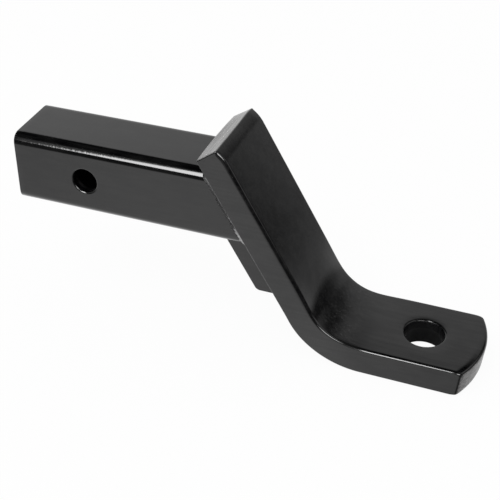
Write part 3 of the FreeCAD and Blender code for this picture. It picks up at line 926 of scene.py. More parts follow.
@dataclass(frozen=True)
class ShankTube:
    """The square tube with its mitred end and the two pin holes.

    The open end's saw cut is out of square by end_skew across and by end_lean down. The bores'
    patch has a number of steps along the tube before it and after it."""

    bar: Drawbar = Drawbar()
    half: float = 25.4
    wall: float = 6.35
    corner: float = 7.75
    corner_power: float = 2.4
    inner_corner: float = 1.6
    open_end: float = -52.4
    end_skew: float = 0.035
    end_lean: float = 0.02
    end_round: float = 0.4
    inner_round: float = 0.4
    pin_radius: float = 8.7
    pin_rim: float = 1.3
    patch: Patch = Patch(13.0, 20)
    before: int = 8
    after: int = 21
    corner_count: int = 18
    round_count: int = 6
    bore_shares: Pair = (0.5, 1.0)
    bore_fans: int = 3

    @property
    def hollow(self) -> float:
        """Half the width inside."""
        return self.half - self.wall

    def build(self, paint: bpy.types.Material) -> bpy.types.Object:
        """Makes the tube: the outside, the end faces and the inside, with a bore in either side.

        Args:
            paint: its material.

        Returns:
            The piece.
        """
        shell = Shell()
        outer = self._ring(self.half, self.corner)
        inner = self._ring(self.hollow, self.inner_corner)
        drop = self._patch_faces(outer)
        for ring, rounding in ((outer, self.end_round), (inner, self.inner_round)):
            shell.add(self._wall(ring, rounding), drop)
        shell.add(self._open_face())
        ends = np.stack([outer, inner])
        shell.add(lattice(self.bar.back_x(ends[..., 1]), ends[..., 0], ends[..., 1]))
        across, up, depth = (self._bore().grid()[..., axis] for axis in range(3))
        for side in (-1.0, 1.0):
            shell.add(lattice(across, side * (self.half - depth), up))
        return dress(shell.piece("shank_tube_steel"), paint, "shank_tube")

    def _ring(self, half: float, radius: float) -> Array:
        """The section's outline as (y, z), closed: flats joined by quarter turns about centres
        set in from the corners, a sine and a cosine divided by the root of their powers' sum.

        Args:
            half: half the outline's side.
            radius: its corner radius.

        Returns:
            Points counter-clockwise, from the start of the flat at z = -half.
        """
        reach = half - radius
        side = np.array([reach, reach - CLEAR, (reach + self.patch.half) / 2])
        run = join(-side, self.patch.run(), side)
        angles = np.linspace(0, math.pi / 2, self.corner_count + 1)[1:-1]
        turn = lattice(np.sin(angles), -np.cos(angles))
        size = np.sum(np.abs(turn) ** self.corner_power, axis=-1, keepdims=True)
        bend = np.array([reach, -reach]) + radius * turn / size ** (1 / self.corner_power)
        quarter = np.vstack([lattice(run, -half), bend])
        turn = np.array([[0.0, 1.0], [-1.0, 0.0]])
        ring = np.vstack([quarter @ np.linalg.matrix_power(turn, k) for k in range(4)])
        return np.vstack([ring, ring[:1]])

    def _wall(self, ring: Array, rounding: float) -> Array:
        """One face of the wall: on each line of the outline, even shares of the way from the open
        end to the patch, the patch's places, and even shares of the way to the mitre.

        Args:
            ring: the outline.
            rounding: the radius between the wall and the open end.

        Returns:
            Stations by points of the outline by 3.
        """
        half, run = np.full(len(ring), self.patch.half), self.patch.run()[:, None]
        before = np.linspace(self._end_x(ring) + rounding, -half, self.before + 1)[:-1]
        after = np.linspace(half, self.bar.back_x(ring[:, 1]), self.after + 1)[1:]
        x = np.vstack([before, np.broadcast_to(run, (len(run), len(ring))), after])
        return lattice(x, ring[None, :, 0], ring[None, :, 1])

    def _patch_faces(self, ring: Array) -> Array:
        """Marks the faces of the two side walls that the bores' patches replace.

        Args:
            ring: the outside's outline.

        Returns:
            True for these faces, stations by points of the outline, less 1 each.
        """
        in_x = np.zeros(self.before + self.patch.count + self.after, bool)
        in_x[self.before : self.before + self.patch.count] = True
        middle = (ring[1:] + ring[:-1]) / 2
        on_side = np.abs(np.abs(middle[:, 0]) - self.half) < SAME
        in_z = on_side & (np.abs(middle[:, 1]) < self.patch.half)
        return in_x[:, None] & in_z[None, :]

    def _open_face(self) -> Array:
        """The open end: a quarter circle off the outside, the flat, and one into the inside. The
        outlines shrink or grow by the rounding times one less the cosine, and lie in from the
        saw cut by the rounding times one less the sine.

        Returns:
            Outlines by points by 3.
        """
        angles = np.linspace(0, math.pi / 2, self.round_count)
        outside = (self.half, self.corner, -self.end_round, angles)
        inside = (self.hollow, self.inner_corner, self.inner_round, angles[::-1])
        rows = []
        for half, corner, rounding, turns in (outside, inside):
            for angle in turns:
                grow = rounding * (1 - math.cos(angle))
                ring = self._ring(half + grow, corner + grow)
                x = self._end_x(ring) + abs(rounding) * (1 - math.sin(angle))
                rows.append(lattice(x, *ring.T))
        return np.stack(rows)

    def _end_x(self, ring: Array) -> Array:
        """X of the saw cut at the points of an outline."""
        return self.open_end - self.end_skew * ring[:, 0] - self.end_lean * (self.half - ring[:, 1])

    def _bore(self) -> Bore:
        """The pin hole through one wall, its rim rounded outside.

        Returns:
            The bore.
        """
        rings = rim_rings(self.pin_radius, self.pin_rim, 0.0, True)
        rings += [(self.pin_radius, self.wall * share) for share in self.bore_shares]
        first = (self.pin_radius + self.pin_rim + CLEAR, 0.0)
        last = (self.pin_radius + CLEAR, self.wall)
        return Bore(self.patch, (first, *rings, last), self.bore_fans)


@dataclass(frozen=True)
class StiffenerBlock:
    """The parallelogram of flat bar under the tube and against the bar's back.

    The counts are stations round an edge, round the heel, down, across and deep."""

    bar: Drawbar = Drawbar()
    top: float = -25.4
    width: float = 38.1
    thickness: float = 19.05
    length: float = 43.77
    edge: float = 0.5
    heel: float = 2.5
    counts: tuple[int, int, int, int, int] = (5, 9, 14, 12, 8)

    def build(self, paint: bpy.types.Material) -> bpy.types.Object:
        """Makes the block from the six faces of a box, its lower back edge rounded further.

        Args:
            paint: its material.

        Returns:
            The piece.
        """
        half, back = self.width / 2, self.thickness / math.sin(self.bar.line.slope)
        size = np.array([self.length, half, back])
        edge_count, heel_count, down_count, across_count, deep_count = self.counts
        steps = edge_steps(self.edge, edge_count)
        heel = np.linspace(0, self.heel, heel_count)
        low, high = self.edge + CLEAR, self.edge + self.heel
        down = np.linspace(low, self.length - high, down_count)
        down = join(steps, down, self.length - heel, self.length - steps)
        across = join(-half + steps, np.linspace(low - half, half - low, across_count), half - steps)
        deep = join(steps, np.linspace(low, back - high, deep_count), back - heel, back - steps)
        shell = Shell()
        for value in (0.0, self.length):
            shell.add(self._place(lattice(value, across[:, None], deep[None, :]), size))
        for value in (-half, half):
            shell.add(self._place(lattice(down[:, None], value, deep[None, :]), size))
        for value in (0.0, back):
            shell.add(self._place(lattice(down[:, None], across[None, :], value), size))
        return dress(shell.piece("stiffener_block_steel"), paint, "stiffener_block")

    def _place(self, box: Array, size: Array) -> Array:
        """Carries points of a box, (down the leg, across, back), onto the block: edges rounded,
        the heel's corner square drawn onto a circle by the larger of its sides over the arm's
        length, and the rest set out along the leg and along X.

        Args:
            box: rows by columns by 3.
            size: length, half width and depth.

        Returns:
            Rows by columns by 3, in the frame.
        """
        low, slope = np.array([0, -size[1], 0]), self.bar.line.slope
        box = rounded(box, low, size, np.full(box.shape[:-1] + (1,), self.edge))
        arm = np.maximum(box[..., [0, 2]] - (size[[0, 2]] - self.heel), 0)
        reach = np.linalg.norm(arm, axis=-1)
        scale = np.where(reach > TINY, arm.max(axis=-1) / np.maximum(reach, TINY), 1.0)
        down = box[..., 0] - arm[..., 0] * (1 - scale)
        back = box[..., 2] - arm[..., 1] * (1 - scale)
        x = self.bar.back_x(self.top) + down * math.cos(slope) - back
        return lattice(x, box[..., 1], self.top - down * math.sin(slope))


@dataclass(frozen=True)
class Bead:
    """A weld bead in a corner: a root line with two toes, a crowned face and ripples.

    Its legs and lips change at random from knot to knot. The ripples' places wander in a number
    of steps, by a spread, and ripple_bend is how many ripples the face's middle lags behind."""

    crown: float = 0.6
    pitch: float = 3.1
    ripple: float = 0.16
    ripple_level: float = 0.6
    ripple_bend: float = 0.5
    wobble: float = 0.07
    knot_gap: float = 4.0
    least_knots: int = 4
    wander_steps: int = 40
    wander: float = 0.35
    lip: float = 0.2
    lip_at: float = 0.1
    lip_width: float = 0.045
    taper: float = 2.5
    face_count: int = 40
    seed: int = 3

    def grid(self, root: Array, toes: tuple[Array, Array]) -> Array:
        """The bead's surface, closed along the root.

        The face runs from toe to toe as a straight blend, lifted by the section's height. Each leg
        swells and shrinks at random along the bead, and both shrink to nothing at its ends as a
        quarter circle does.

        Args:
            root: points along the root, count by 3.
            toes: vectors from the root to either toe, count by 3 each.

        Returns:
            Rows along the root by columns round the section by 3.
        """
        gaps = np.linalg.norm(np.diff(root, axis=0), axis=-1)
        length = np.concatenate([[0.0], np.cumsum(gaps)])
        to_end = np.minimum(length, length[-1] - length)
        swell = np.sqrt(1 - fade(to_end, self.taper) ** 2)[:, None, None]
        share = np.linspace(0, 1, self.face_count + 1)
        rng = np.random.default_rng(self.seed)
        knots = max(int(length[-1] / self.knot_gap), self.least_knots)
        knots = np.linspace(0, length[-1], knots)
        legs = [np.interp(length, knots, rng.normal(1, self.wobble, knots.size)) for _ in toes]
        first, second = ((toe * leg[:, None])[:, None, :] for toe, leg in zip(toes, legs))
        height = self._height(length, knots, share, rng)
        face = blend(first, second, share[None, :, None])
        face = face + unit(unit(first) + unit(second)) * height[..., None]
        ends = np.zeros_like(first)
        return root[:, None, :] + np.concatenate([ends, face, ends], axis=1) * swell

    def _height(
        self, length: Array, knots: Array, share: Array, rng: np.random.Generator
    ) -> Array:
        """How far the face stands over the straight line between its toes.

        That is the crown times four times share times one less share; plus the ripples, a sine of
        the length along the root, bent back towards the toes; plus a bell beside either toe, a
        thin lip of random height.

        Args:
            length: lengths along the root.
            knots: lengths at which the lips change.
            share: 0 at one toe, 1 at the other.
            rng: the bead's random numbers.

        Returns:
            Heights, lengths by shares.
        """
        hump = 4 * share * (1 - share)
        steps = np.linspace(0, length[-1], self.wander_steps)
        wander = np.interp(length, steps, rng.normal(0, self.wander, self.wander_steps))
        turns = (length + wander)[:, None] / self.pitch + self.ripple_bend * hump[None, :]
        wave = np.abs(np.sin(math.pi * turns)) - self.ripple_level
        height = self.crown * hump[None, :] + self.ripple * wave * np.sqrt(hump)[None, :]
        for at in (self.lip_at, 1 - self.lip_at):
            strength = np.interp(length, knots, rng.uniform(0, self.lip, knots.size))
            height = height + strength[:, None] * np.exp(-(((share - at) / self.lip_width) ** 2))
        return height


@dataclass(frozen=True)
class Welds:
    """The beads round the tube, down the block's sides and behind it.

    The counts are points up the tube's side, round its corner and over its top, and along a
    bead beside and behind the block."""

    bar: Drawbar = Drawbar()
    tube: ShankTube = ShankTube()
    block: StiffenerBlock = StiffenerBlock()
    on_tube: float = 7.4
    on_bar: float = 5.4
    stop: float = -22.4
    leg: float = 5.0
    inset: float = 4.0
    back_length: float = 24.0
    tube_bead: Bead = Bead(crown=0.35, taper=2.0, seed=5)
    left_bead: Bead = Bead(seed=6)
    right_bead: Bead = Bead(seed=8)
    back_bead: Bead = Bead(seed=11)
    tube_counts: tuple[int, int, int] = (90, 26, 110)
    block_counts: tuple[int, int] = (80, 60)

    def build(self, paint: bpy.types.Material) -> list[bpy.types.Object]:
        """Makes all beads.

        Args:
            paint: their material.

        Returns:
            The pieces.
        """
        grids = {
            "tube_weld": self._round_tube(),
            "block_weld_left": self._beside_block(-1.0, self.left_bead),
            "block_weld_right": self._beside_block(1.0, self.right_bead),
            "block_weld_back": self._behind_block(),
        }
        return [self._piece(name, grid, paint) for name, grid in grids.items()]

    @property
    def down(self) -> Array:
        """Unit vector down the leg, in the frame."""
        slope = self.bar.line.slope
        return np.array([math.cos(slope), 0.0, -math.sin(slope)])

    def _round_tube(self) -> Array:
        """The bead up one side of the tube, over its top and down the other side.

        The root follows the tube's outline on the bar's back; the toe on the tube lies along -X,
        and the toe on the bar along the outline's normal in the bar's plane.

        Returns:
            The bead's grid.
        """
        half, radius = self.tube.half, self.tube.corner
        reach = half - radius
        rise_count, corner_count, over_count = self.tube_counts
        angles = np.linspace(0, math.pi / 2, corner_count)[1:-1]
        sin, cos = np.sin(angles), np.cos(angles)
        # Columns: place across, height, and the outline's normal across and up
        rise = lattice(-half, np.linspace(self.stop, reach, rise_count), -1.0, 0.0)
        turn = lattice(-reach - radius * cos, reach + radius * sin, -cos, sin)
        over = lattice(np.linspace(-reach, reach, over_count), half, 0.0, 1.0)
        flank = np.vstack([rise, turn])
        far_flank = flank[::-1] * np.array([-1, 1, -1, 1])
        y, z, ny, nz = np.vstack([flank, over, far_flank]).T
        root = lattice(self.bar.back_x(z), y, z)
        nz = nz * math.sin(self.bar.line.slope)
        normal = unit(np.array([0.0, 1.0, 0.0]) * ny[:, None] - self.down * nz[:, None])
        on_tube = self._along_root(root, (-self.on_tube, 0.0, 0.0))
        return self.tube_bead.grid(root, (normal * self.on_bar, on_tube))

    def _beside_block(self, side: float, bead: Bead) -> Array:
        """The bead down one side of the block; its toes lie along Y and off the bar's back.

        Args:
            side: -1 for the side at low Y, 1 for the other.
            bead: the bead.

        Returns:
            The bead's grid.
        """
        down = np.linspace(self.inset, self.block.length - self.inset, self.block_counts[0])
        start = (self.bar.back_x(self.block.top), side * self.block.width / 2, self.block.top)
        root = np.array(start) + down[:, None] * self.down
        out = self.bar.line.out
        away = self._along_root(root, (-out[0] * self.leg, 0.0, -out[1] * self.leg))
        return bead.grid(root, (self._along_root(root, (0.0, side * self.leg, 0.0)), away))

    def _behind_block(self) -> Array:
        """The short bead between the block's back and the tube's underside.

        Returns:
            The bead's grid.
        """
        y = np.linspace(-self.back_length / 2, self.back_length / 2, self.block_counts[1])
        behind = self.block.thickness / math.sin(self.bar.line.slope)
        root = lattice(self.bar.back_x(self.block.top) - behind, y, self.block.top)
        under = self._along_root(root, (-self.leg, 0.0, 0.0))
        return self.back_bead.grid(root, (under, self._along_root(root, self.down * self.leg)))

    @staticmethod
    def _along_root(root: Array, toe: Array | Triple) -> Array:
        """The same toe at every point of the root."""
        return np.tile(toe, (len(root), 1))

    @staticmethod
    def _piece(name: str, grid: Array, paint: bpy.types.Material) -> bpy.types.Object:
        """One bead as a piece that stands for its CAD node.

        Args:
            name: the CAD node.
            grid: the bead's grid.
            paint: its material.

        Returns:
            The piece.
        """
        shell = Shell()
        shell.add(grid)
        return dress(shell.piece(f"{name}_bead"), paint, name)


# Finishes


@dataclass(frozen=True)
class Spot:
    """A point of a surface in Object coordinates and millimetres, as wires."""

    tree: ShaderTree
    place: Wire
    x: Wire
    y: Wire
    z: Wire


@dataclass(frozen=True)
class BlackPaint:
    """Gloss black paint over steel: orange peel, faint streaks and small changes of gloss.

    Sheared faces show their grain through it, in greys whose pale tone is partly a painted
    reflection of the lamp; flecks lie where a piece has them, painted highlights on the welds, and
    bores are dark and dull. Edges are the two values between which a mask goes from 0 to 1."""

    name: str
    colour: Triple = (0.0015, 0.0015, 0.0018)
    roughness: float = 0.085
    refraction: float = 1.5
    # Dust and changes of gloss
    dust: Triple = (0.006, 0.006, 0.006)
    dust_edges: Pair = (0.4, 0.62)
    patches: Grain = Grain(9.0, (0.5, 1.0, 1.0), 4.0, 0.6)
    patch_roughness: float = 0.05
    streaks: Grain = Grain(1.6, (0.05, 1.0, 1.0))
    # Flecks, and on the welds painted highlights
    fleck_and_highlight: Triple = (0.022, 0.022, 0.022)
    fleck_grain: Grain = Grain(2.2, detail=4.0, rough=0.65)
    fleck_edges: Pair = (0.52, 0.68)
    fleck_height: float = 0.07
    fleck_roughness: float = 0.05
    # Relief
    peel: Grain = Grain(2.6)
    peel_height: float = 0.006
    fine_streaks: Grain = Grain(1.2, (0.05, 1.0, 1.0))
    streak_height: float = 0.003
    waves: Grain = Grain(16.0, (0.4, 1.0, 1.0), 1.0)
    wave_height: float = 0.03
    # Sheared faces: the steel's grain, its pale tone partly a painted reflection of the lamp
    cut_grain_and_reflection_tones: tuple[Triple, Triple] = ((0.04, 0.04, 0.04), (0.21, 0.204, 0.203))
    cut_grain: Grain = Grain(1.5, (1.0, 0.05, 1.0), 4.0, 0.6)
    cut_edges: Pair = (0.3, 0.7)
    cut_height: float = 0.045
    cut_roughness: float = 0.15
    # Bores
    bore_roughness: float = 0.5
    bore_specular: float = 0.05

    def make(self) -> bpy.types.Material:
        """Makes the material: noise in Object coordinates bends the normal and shifts the gloss.

        Returns:
            The material.
        """
        material = bpy.data.materials.new(self.name)
        tree = ShaderTree(material)
        place = tree.vector("MULTIPLY", tree.coordinates("Object"), (1 / MM,) * 3)
        at = Spot(tree, place, *tree.split(place))
        cut, fleck_and_highlight_mask = self.cut(at), self.fleck_and_highlight_mask(at)
        patches = tree.noise(place, self.patches)
        flecks = tree.noise(place, self.fleck_grain)
        grain = tree.noise(place, self.cut_grain)
        dusty = patches * 0.5 + tree.noise(place, self.streaks) * 0.5
        colour = tree.mix(tree.step(dusty, *self.dust_edges), self.colour, self.dust)
        # Flecks of scale on the bar; on the welds, pale painted highlights along the toes
        colour = tree.mix(fleck_and_highlight_mask * tree.step(flecks, *self.fleck_edges), colour, self.fleck_and_highlight)
        # Sheared faces: greys by the grain, the pale one partly a painted reflection of the lamp
        sheared = tree.mix(tree.step(grain, *self.cut_edges), *self.cut_grain_and_reflection_tones)
        gloss = self.roughness + (patches - 0.5) * self.patch_roughness
        height = self._height(at) + cut * grain * self.cut_height + self.relief(at)
        inputs = {
            "Base Color": tree.mix(cut, colour, sheared),
            "Roughness": gloss + cut * self.cut_roughness + fleck_and_highlight_mask * self.fleck_roughness,
            "IOR": self.refraction,
            "Normal": tree.bump(height + fleck_and_highlight_mask * flecks * self.fleck_height),
        }
        dull = {
            "Base Color": (*self.colour, 1.0),
            "Roughness": self.bore_roughness,
            "Specular IOR Level": self.bore_specular,
        }
        paint, steel = (
            tree.out(tree.add("ShaderNodeBsdfPrincipled", {}, sockets)) for sockets in (inputs, dull)
        )
        tree.finish("Material", tree.blend_shaders(self.bore(at), paint, steel))
        return material

    def _height(self, at: Spot) -> Wire:
        """The relief that is everywhere: orange peel, streaks along the piece and slow waves.

        Args:
            at: the surface's point.

        Returns:
            Height in millimetres.
        """
        peel = at.tree.noise(at.place, self.peel) * self.peel_height
        streaks = at.tree.noise(at.place, self.fine_streaks) * self.streak_height
        return peel + streaks + at.tree.noise(at.place, self.waves) * self.wave_height

    def cut(self, at: Spot) -> Value:
        """1 on a sheared face."""
        return 0.0

    def fleck_and_highlight_mask(self, at: Spot) -> Value:
        """1 where flecks break the surface; on the welds, where painted highlights lie."""
        return 0.0

    def bore(self, at: Spot) -> Value:
        """1 inside holes."""
        return 0.0

    def relief(self, at: Spot) -> Value:
        """More relief of a piece's own, in millimetres."""
        return 0.0


@dataclass(frozen=True)
class BarPaint(BlackPaint):
    """The bar's paint: grain and a partly painted reflection on both sheared ends, flecks of scale in
    the bend, a dark ball hole.

    The edges for the ends, the hole and its depth count from the bar's own sizes; those for the
    scale are places across and distances from the bend's middle."""

    dust: Triple = (0.009, 0.009, 0.009)
    bore_specular: float = 0.15
    bar: Drawbar = Drawbar()
    end_edges: Pair = (-0.5, -0.15)
    scale_sides: Pair = (30.5, 28.5)
    scale_reach: Pair = (19.0, 5.0)
    hole_edges: Pair = (1.2, 0.8)
    hole_depths: Pair = (0.3, 1.0)

    def cut(self, at: Spot) -> Value:
        """1 on the top end and the tip.

        Each is found by the distance past a line that follows it: up the leg with the lean, the
        bow and the dropped corner, and out to the arc with its own lean.

        Args:
            at: the surface's point.

        Returns:
            The mask.
        """
        tree, bar, line = at.tree, self.bar, self.bar.line
        rise = self._past(at, line.up) - line.leg
        depth = self._past(at, line.out) * -1.0
        share = depth * (1 / bar.thickness)
        sunk = tree.larger(depth - bar.top_roll[1], 0.0)
        bow = share**2.0 * (1 - (at.y * (2 / bar.width)) ** 2.0)
        width = bar.top_drop_width
        drop = tree.larger((at.y + (width - bar.width / 2)) * (1 / width), 0.0)
        drop = drop**2.0 * (1 - share)
        top = rise + sunk * math.tan(bar.top_lean) - bow * bar.top_bow + drop * bar.top_drop[0]
        arc = (bar.tip_radius**2 - at.y * at.y) ** 0.5
        under = tree.larger(line.corner[1] - bar.tip_roll[1] - at.z, 0.0)
        tip = at.x - at.y * bar.tip_skew - arc + (bar.tip_radius - line.tip)
        tip = tip + under * math.tan(bar.tip_lean)
        return tree.larger(*(tree.step(past, *self.end_edges) for past in (top, tip)))

    def _past(self, at: Spot, way: Array) -> Wire:
        """How far a point lies past the bar's corner along a unit vector, given as x and z."""
        start = float(np.array(self.bar.line.corner) @ way)
        return at.x * float(way[0]) + at.z * float(way[1]) - start

    def fleck_and_highlight_mask(self, at: Spot) -> Value:
        """1 in the middle of the bend's inner side, fading out along the bar.

        Args:
            at: the surface's point.

        Returns:
            The mask.
        """
        line = self.bar.line
        turn = line.slope / 2
        x, z = (line.centre - line.bend * np.array([math.sin(turn), math.cos(turn)])).tolist()
        away = ((at.x - x) ** 2.0 + (at.z - z) ** 2.0) ** 0.5
        inside = at.tree.step(abs(at.y), *self.scale_sides)
        return at.tree.step(away, *self.scale_reach) * inside

    def bore(self, at: Spot) -> Value:
        """1 inside the ball hole, below its rolled rim.

        Args:
            at: the surface's point.

        Returns:
            The mask.
        """
        bar = self.bar
        out = ((at.x - bar.hole_x) ** 2.0 + at.y * at.y) ** 0.5
        inside = at.tree.step(out - bar.hole_radius, *self.hole_edges)
        return inside * at.tree.step(bar.line.corner[1] - at.z, *self.hole_depths)


@dataclass(frozen=True)
class TubePaint(BlackPaint):
    """The tube's paint: dark pin holes and inside, and fine ticks on its near top corner.

    The edges for the pin holes, their depth and the inside count from the tube's own sizes, and
    the ticks fade between two x."""

    tube: ShankTube = ShankTube()
    pin_edges: Pair = (0.5, 0.2)
    pin_depths: Pair = (0.4, 0.9)
    hollow_edges: Pair = (0.3, 0.1)
    ticks: Grain = Grain(1.7, (1.0, 0.25, 0.25), 2.0)
    tick_height: float = 0.04
    tick_edges: Pair = (45.0, 0.0)

    def bore(self, at: Spot) -> Value:
        """1 in the pin holes and inside the tube.

        Args:
            at: the surface's point.

        Returns:
            The mask.
        """
        tree, tube = at.tree, self.tube
        out = (at.x * at.x + at.z * at.z) ** 0.5
        pin = tree.step(out - tube.pin_radius, *self.pin_edges)
        pin = pin * tree.step(tube.half - abs(at.y), *self.pin_depths)
        inside = tree.larger(abs(at.y), abs(at.z)) - tube.hollow
        return tree.larger(pin, tree.step(inside, *self.hollow_edges))

    def relief(self, at: Spot) -> Value:
        """Ticks across the tube that fade out past the pin holes."""
        ticks = at.tree.noise(at.place, self.ticks)
        return ticks * at.tree.step(at.x, *self.tick_edges) * self.tick_height


@dataclass(frozen=True)
class WeldPaint(BlackPaint):
    """The beads' paint: pale painted highlights lie in broken threads along the toes, most of them low
    down.

    A thread's edges are distances from the tube's side or the bar's back, and the fade is
    between two heights."""

    # Pale colour of the painted highlights on the threads along the toes
    fleck_and_highlight: Triple = (0.3, 0.29, 0.26)
    fleck_grain: Grain = Grain(2.8, detail=4.0, rough=0.65)
    fleck_height: float = 0.015
    bar: Drawbar = Drawbar()
    tube: ShankTube = ShankTube()
    thread: Pair = (0.38, 0.2)
    thread_start: Pair = (-0.3, 0.0)
    thread_fade: Pair = (9.0, -10.0)

    def fleck_and_highlight_mask(self, at: Spot) -> Value:
        """1 on thin threads of painted highlight beside the tube's side and beside the bar's back.

        Args:
            at: the surface's point.

        Returns:
            The mask.
        """
        tree, line = at.tree, self.bar.line
        start = float(np.array(line.corner) @ line.out) - self.bar.thickness
        behind = start - (at.x * float(line.out[0]) + at.z * float(line.out[1]))
        beside = abs(at.y) - self.tube.half
        on_tube = tree.step(beside, *self.thread) * tree.step(beside, *self.thread_start)
        on_bar = tree.step(behind, *self.thread)
        return tree.larger(on_tube, on_bar) * tree.step(at.z, *self.thread_fade)


# Studio

# Greys of the back wall by compass angle, the same at the horizon and above it
LEFT_AND_BACK = ((-60, 0.7), (-34, 0.86), (-25, 0.84), (-10, 0.75), (3, 0.66), (17, 0.55))


@dataclass(frozen=True)
class SoftBox:
    """An upright light in the mirrored room: its compass angle, half its width, the heights it
    reaches between and its strength, all angles in degrees; a faint glow may stand round it."""

    compass: float
    half: float
    heights: Pair
    strength: float
    glow: float = 0.0
    side_blur: float = 1.8
    end_blur: float = 2.0
    glow_reach: Pair = (6.0, 16.0)

    def shine(self, tree: ShaderTree, x: Wire, y: Wire, height: Wire) -> Wire:
        """Its light in a direction.

        Args:
            tree: the world's tree.
            x: the direction's x.
            y: its y.
            height: its angle over the horizon.

        Returns:
            The light.
        """
        angle = math.radians(self.compass)
        ahead = x * math.sin(angle) + y * math.cos(angle)
        aside = x * math.cos(angle) - y * math.sin(angle)
        off = abs(tree.math("ARCTAN2", aside, ahead) * DEGREES) - self.half
        inside = 1 - tree.step(off, -self.side_blur, self.side_blur)
        around = 1 - tree.step(off, *self.glow_reach)
        low, high = (
            tree.step(height - end, -self.end_blur, self.end_blur) for end in self.heights
        )
        return low * (1 - high) * (inside * self.strength + around * self.glow)


@dataclass(frozen=True)
class Surroundings:
    """What gloss mirrors: a pale floor and back wall, two soft boxes, and dark gaps.

    Compass angles run in degrees from +Y towards +X. Each table gives greys by them, and that of
    the wall's upper edge gives heights. The wall has one table at the horizon and another above
    it, and goes over from one to the other between the heights of wall_blend. The floor ends at
    one height at the back and another at the front, and changes between the angles of front."""

    plain: float = 0.9
    floor: tuple[Pair, ...] = (
        *((-180, 0.54), (-173, 0.60), (-166, 0.715), (-158, 0.80), (-151, 0.77), (-145, 0.67)),
        *((-120, 0.75), (-90, 1.0), (-60, 0.9), (0, 0.46), (55, 0.385), (80, 0.12)),
        *((140, 0.12), (162, 0.50), (180, 0.54)),
    )
    horizon: tuple[Pair, ...] = (
        *((-180, 0.4), (-168, 0.25), (-160, 0.08), (-140, 0.08), (-120, 0.45)),
        *LEFT_AND_BACK,
        *((28, 0.40), (33, 0.40), (36.5, 0.245), (38.5, 0.11), (41, 0.055)),
        *((75, 0.06), (130, 0.05), (165, 0.08), (180, 0.4)),
    )
    upper: tuple[Pair, ...] = (
        *((-180, 0.4), (-168, 0.1), (-145, 0.08), (-120, 0.4)),
        *LEFT_AND_BACK,
        *((26, 0.43), (31.5, 0.25), (36, 0.09), (43, 0.05), (52, 0.4), (62, 0.85)),
        *((88, 0.85), (102, 0.12), (126, 0.12), (134, 0.5), (150, 0.5), (180, 0.4)),
    )
    top: tuple[Pair, ...] = (
        *((-180, 46), (-120, 44), (-60, 33), (-34, 36.4), (-9, 42.4), (25, 44)),
        *((45, 48), (60, 72), (130, 72), (150, 50), (180, 46)),
    )
    floor_gain: float = 1.95
    wall_gain: float = 1.22
    floor_ends: Pair = (-6.0, -23.5)
    front: Pair = (100.0, 125.0)
    floor_blur: float = 3.5
    wall_blend: Pair = (4.0, 12.0)
    top_blur: float = 3.0
    lights: tuple[SoftBox, ...] = (
        SoftBox(compass=-163.1, half=11.9, heights=(8.0, 56.0), strength=20.0, glow=0.7),
        SoftBox(compass=147.0, half=18.0, heights=(17.5, 38.0), strength=13.0),
    )

    def make(self) -> bpy.types.World:
        """Makes the world: white to the camera, the room to gloss and a plain level to the rest.

        Returns:
            The world.
        """
        world = bpy.data.worlds.new("studio")
        tree = ShaderTree(world)
        x, y, z = tree.split(tree.coordinates("Generated"))
        compass = tree.math("ARCTAN2", x, y) * DEGREES
        height = tree.math("ARCSINE", z) * DEGREES
        mirrored = self._room(tree, compass, height)
        for light in self.lights:
            mirrored = mirrored + light.shine(tree, x, y, height)
        gloss, seen = tree.ray("Glossy"), tree.seen_directly()
        level = gloss * mirrored + (1 - gloss) * (seen + (1 - seen) * self.plain)
        background = tree.add("ShaderNodeBackground", {}, {"Strength": level})
        tree.finish("World", tree.out(background))
        return world

    def _room(self, tree: ShaderTree, compass: Wire, height: Wire) -> Wire:
        """Floor below the horizon's band, that band, and the walls up to their top edge.

        Args:
            tree: the world's tree.
            compass: compass angle of the direction.
            height: its angle over the horizon.

        Returns:
            The light.
        """
        floor = self._table(tree, compass, self.floor) * self.floor_gain
        horizon, upper = (self._table(tree, compass, stops) for stops in (self.horizon, self.upper))
        highest = self._table(tree, compass, self.top, 90.0)
        back_end, front_end = self.floor_ends
        floor_end = back_end + tree.step(abs(compass), *self.front) * (front_end - back_end)
        above_floor = tree.step(height - floor_end, -self.floor_blur, self.floor_blur)
        high = tree.step(height, *self.wall_blend)
        wall = (horizon + high * (upper - horizon)) * self.wall_gain
        wall = wall * (1 - tree.step(height - highest, -self.top_blur, self.top_blur))
        return floor + above_floor * (wall - floor)

    @staticmethod
    def _table(
        tree: ShaderTree, compass: Wire, stops: tuple[Pair, ...], largest: float = 1.0
    ) -> Wire:
        """A table's value by compass angle.

        Args:
            tree: the world's tree.
            compass: compass angle of the direction.
            stops: compass angles and values.
            largest: a value that none is above, which the ramp shows as white.

        Returns:
            The value, straight between stops.
        """
        turns = compass * (1 / 360) + 0.5
        shares = [(angle / 360 + 0.5, value / largest) for angle, value in stops]
        return tree.ramp(turns, shares) * largest


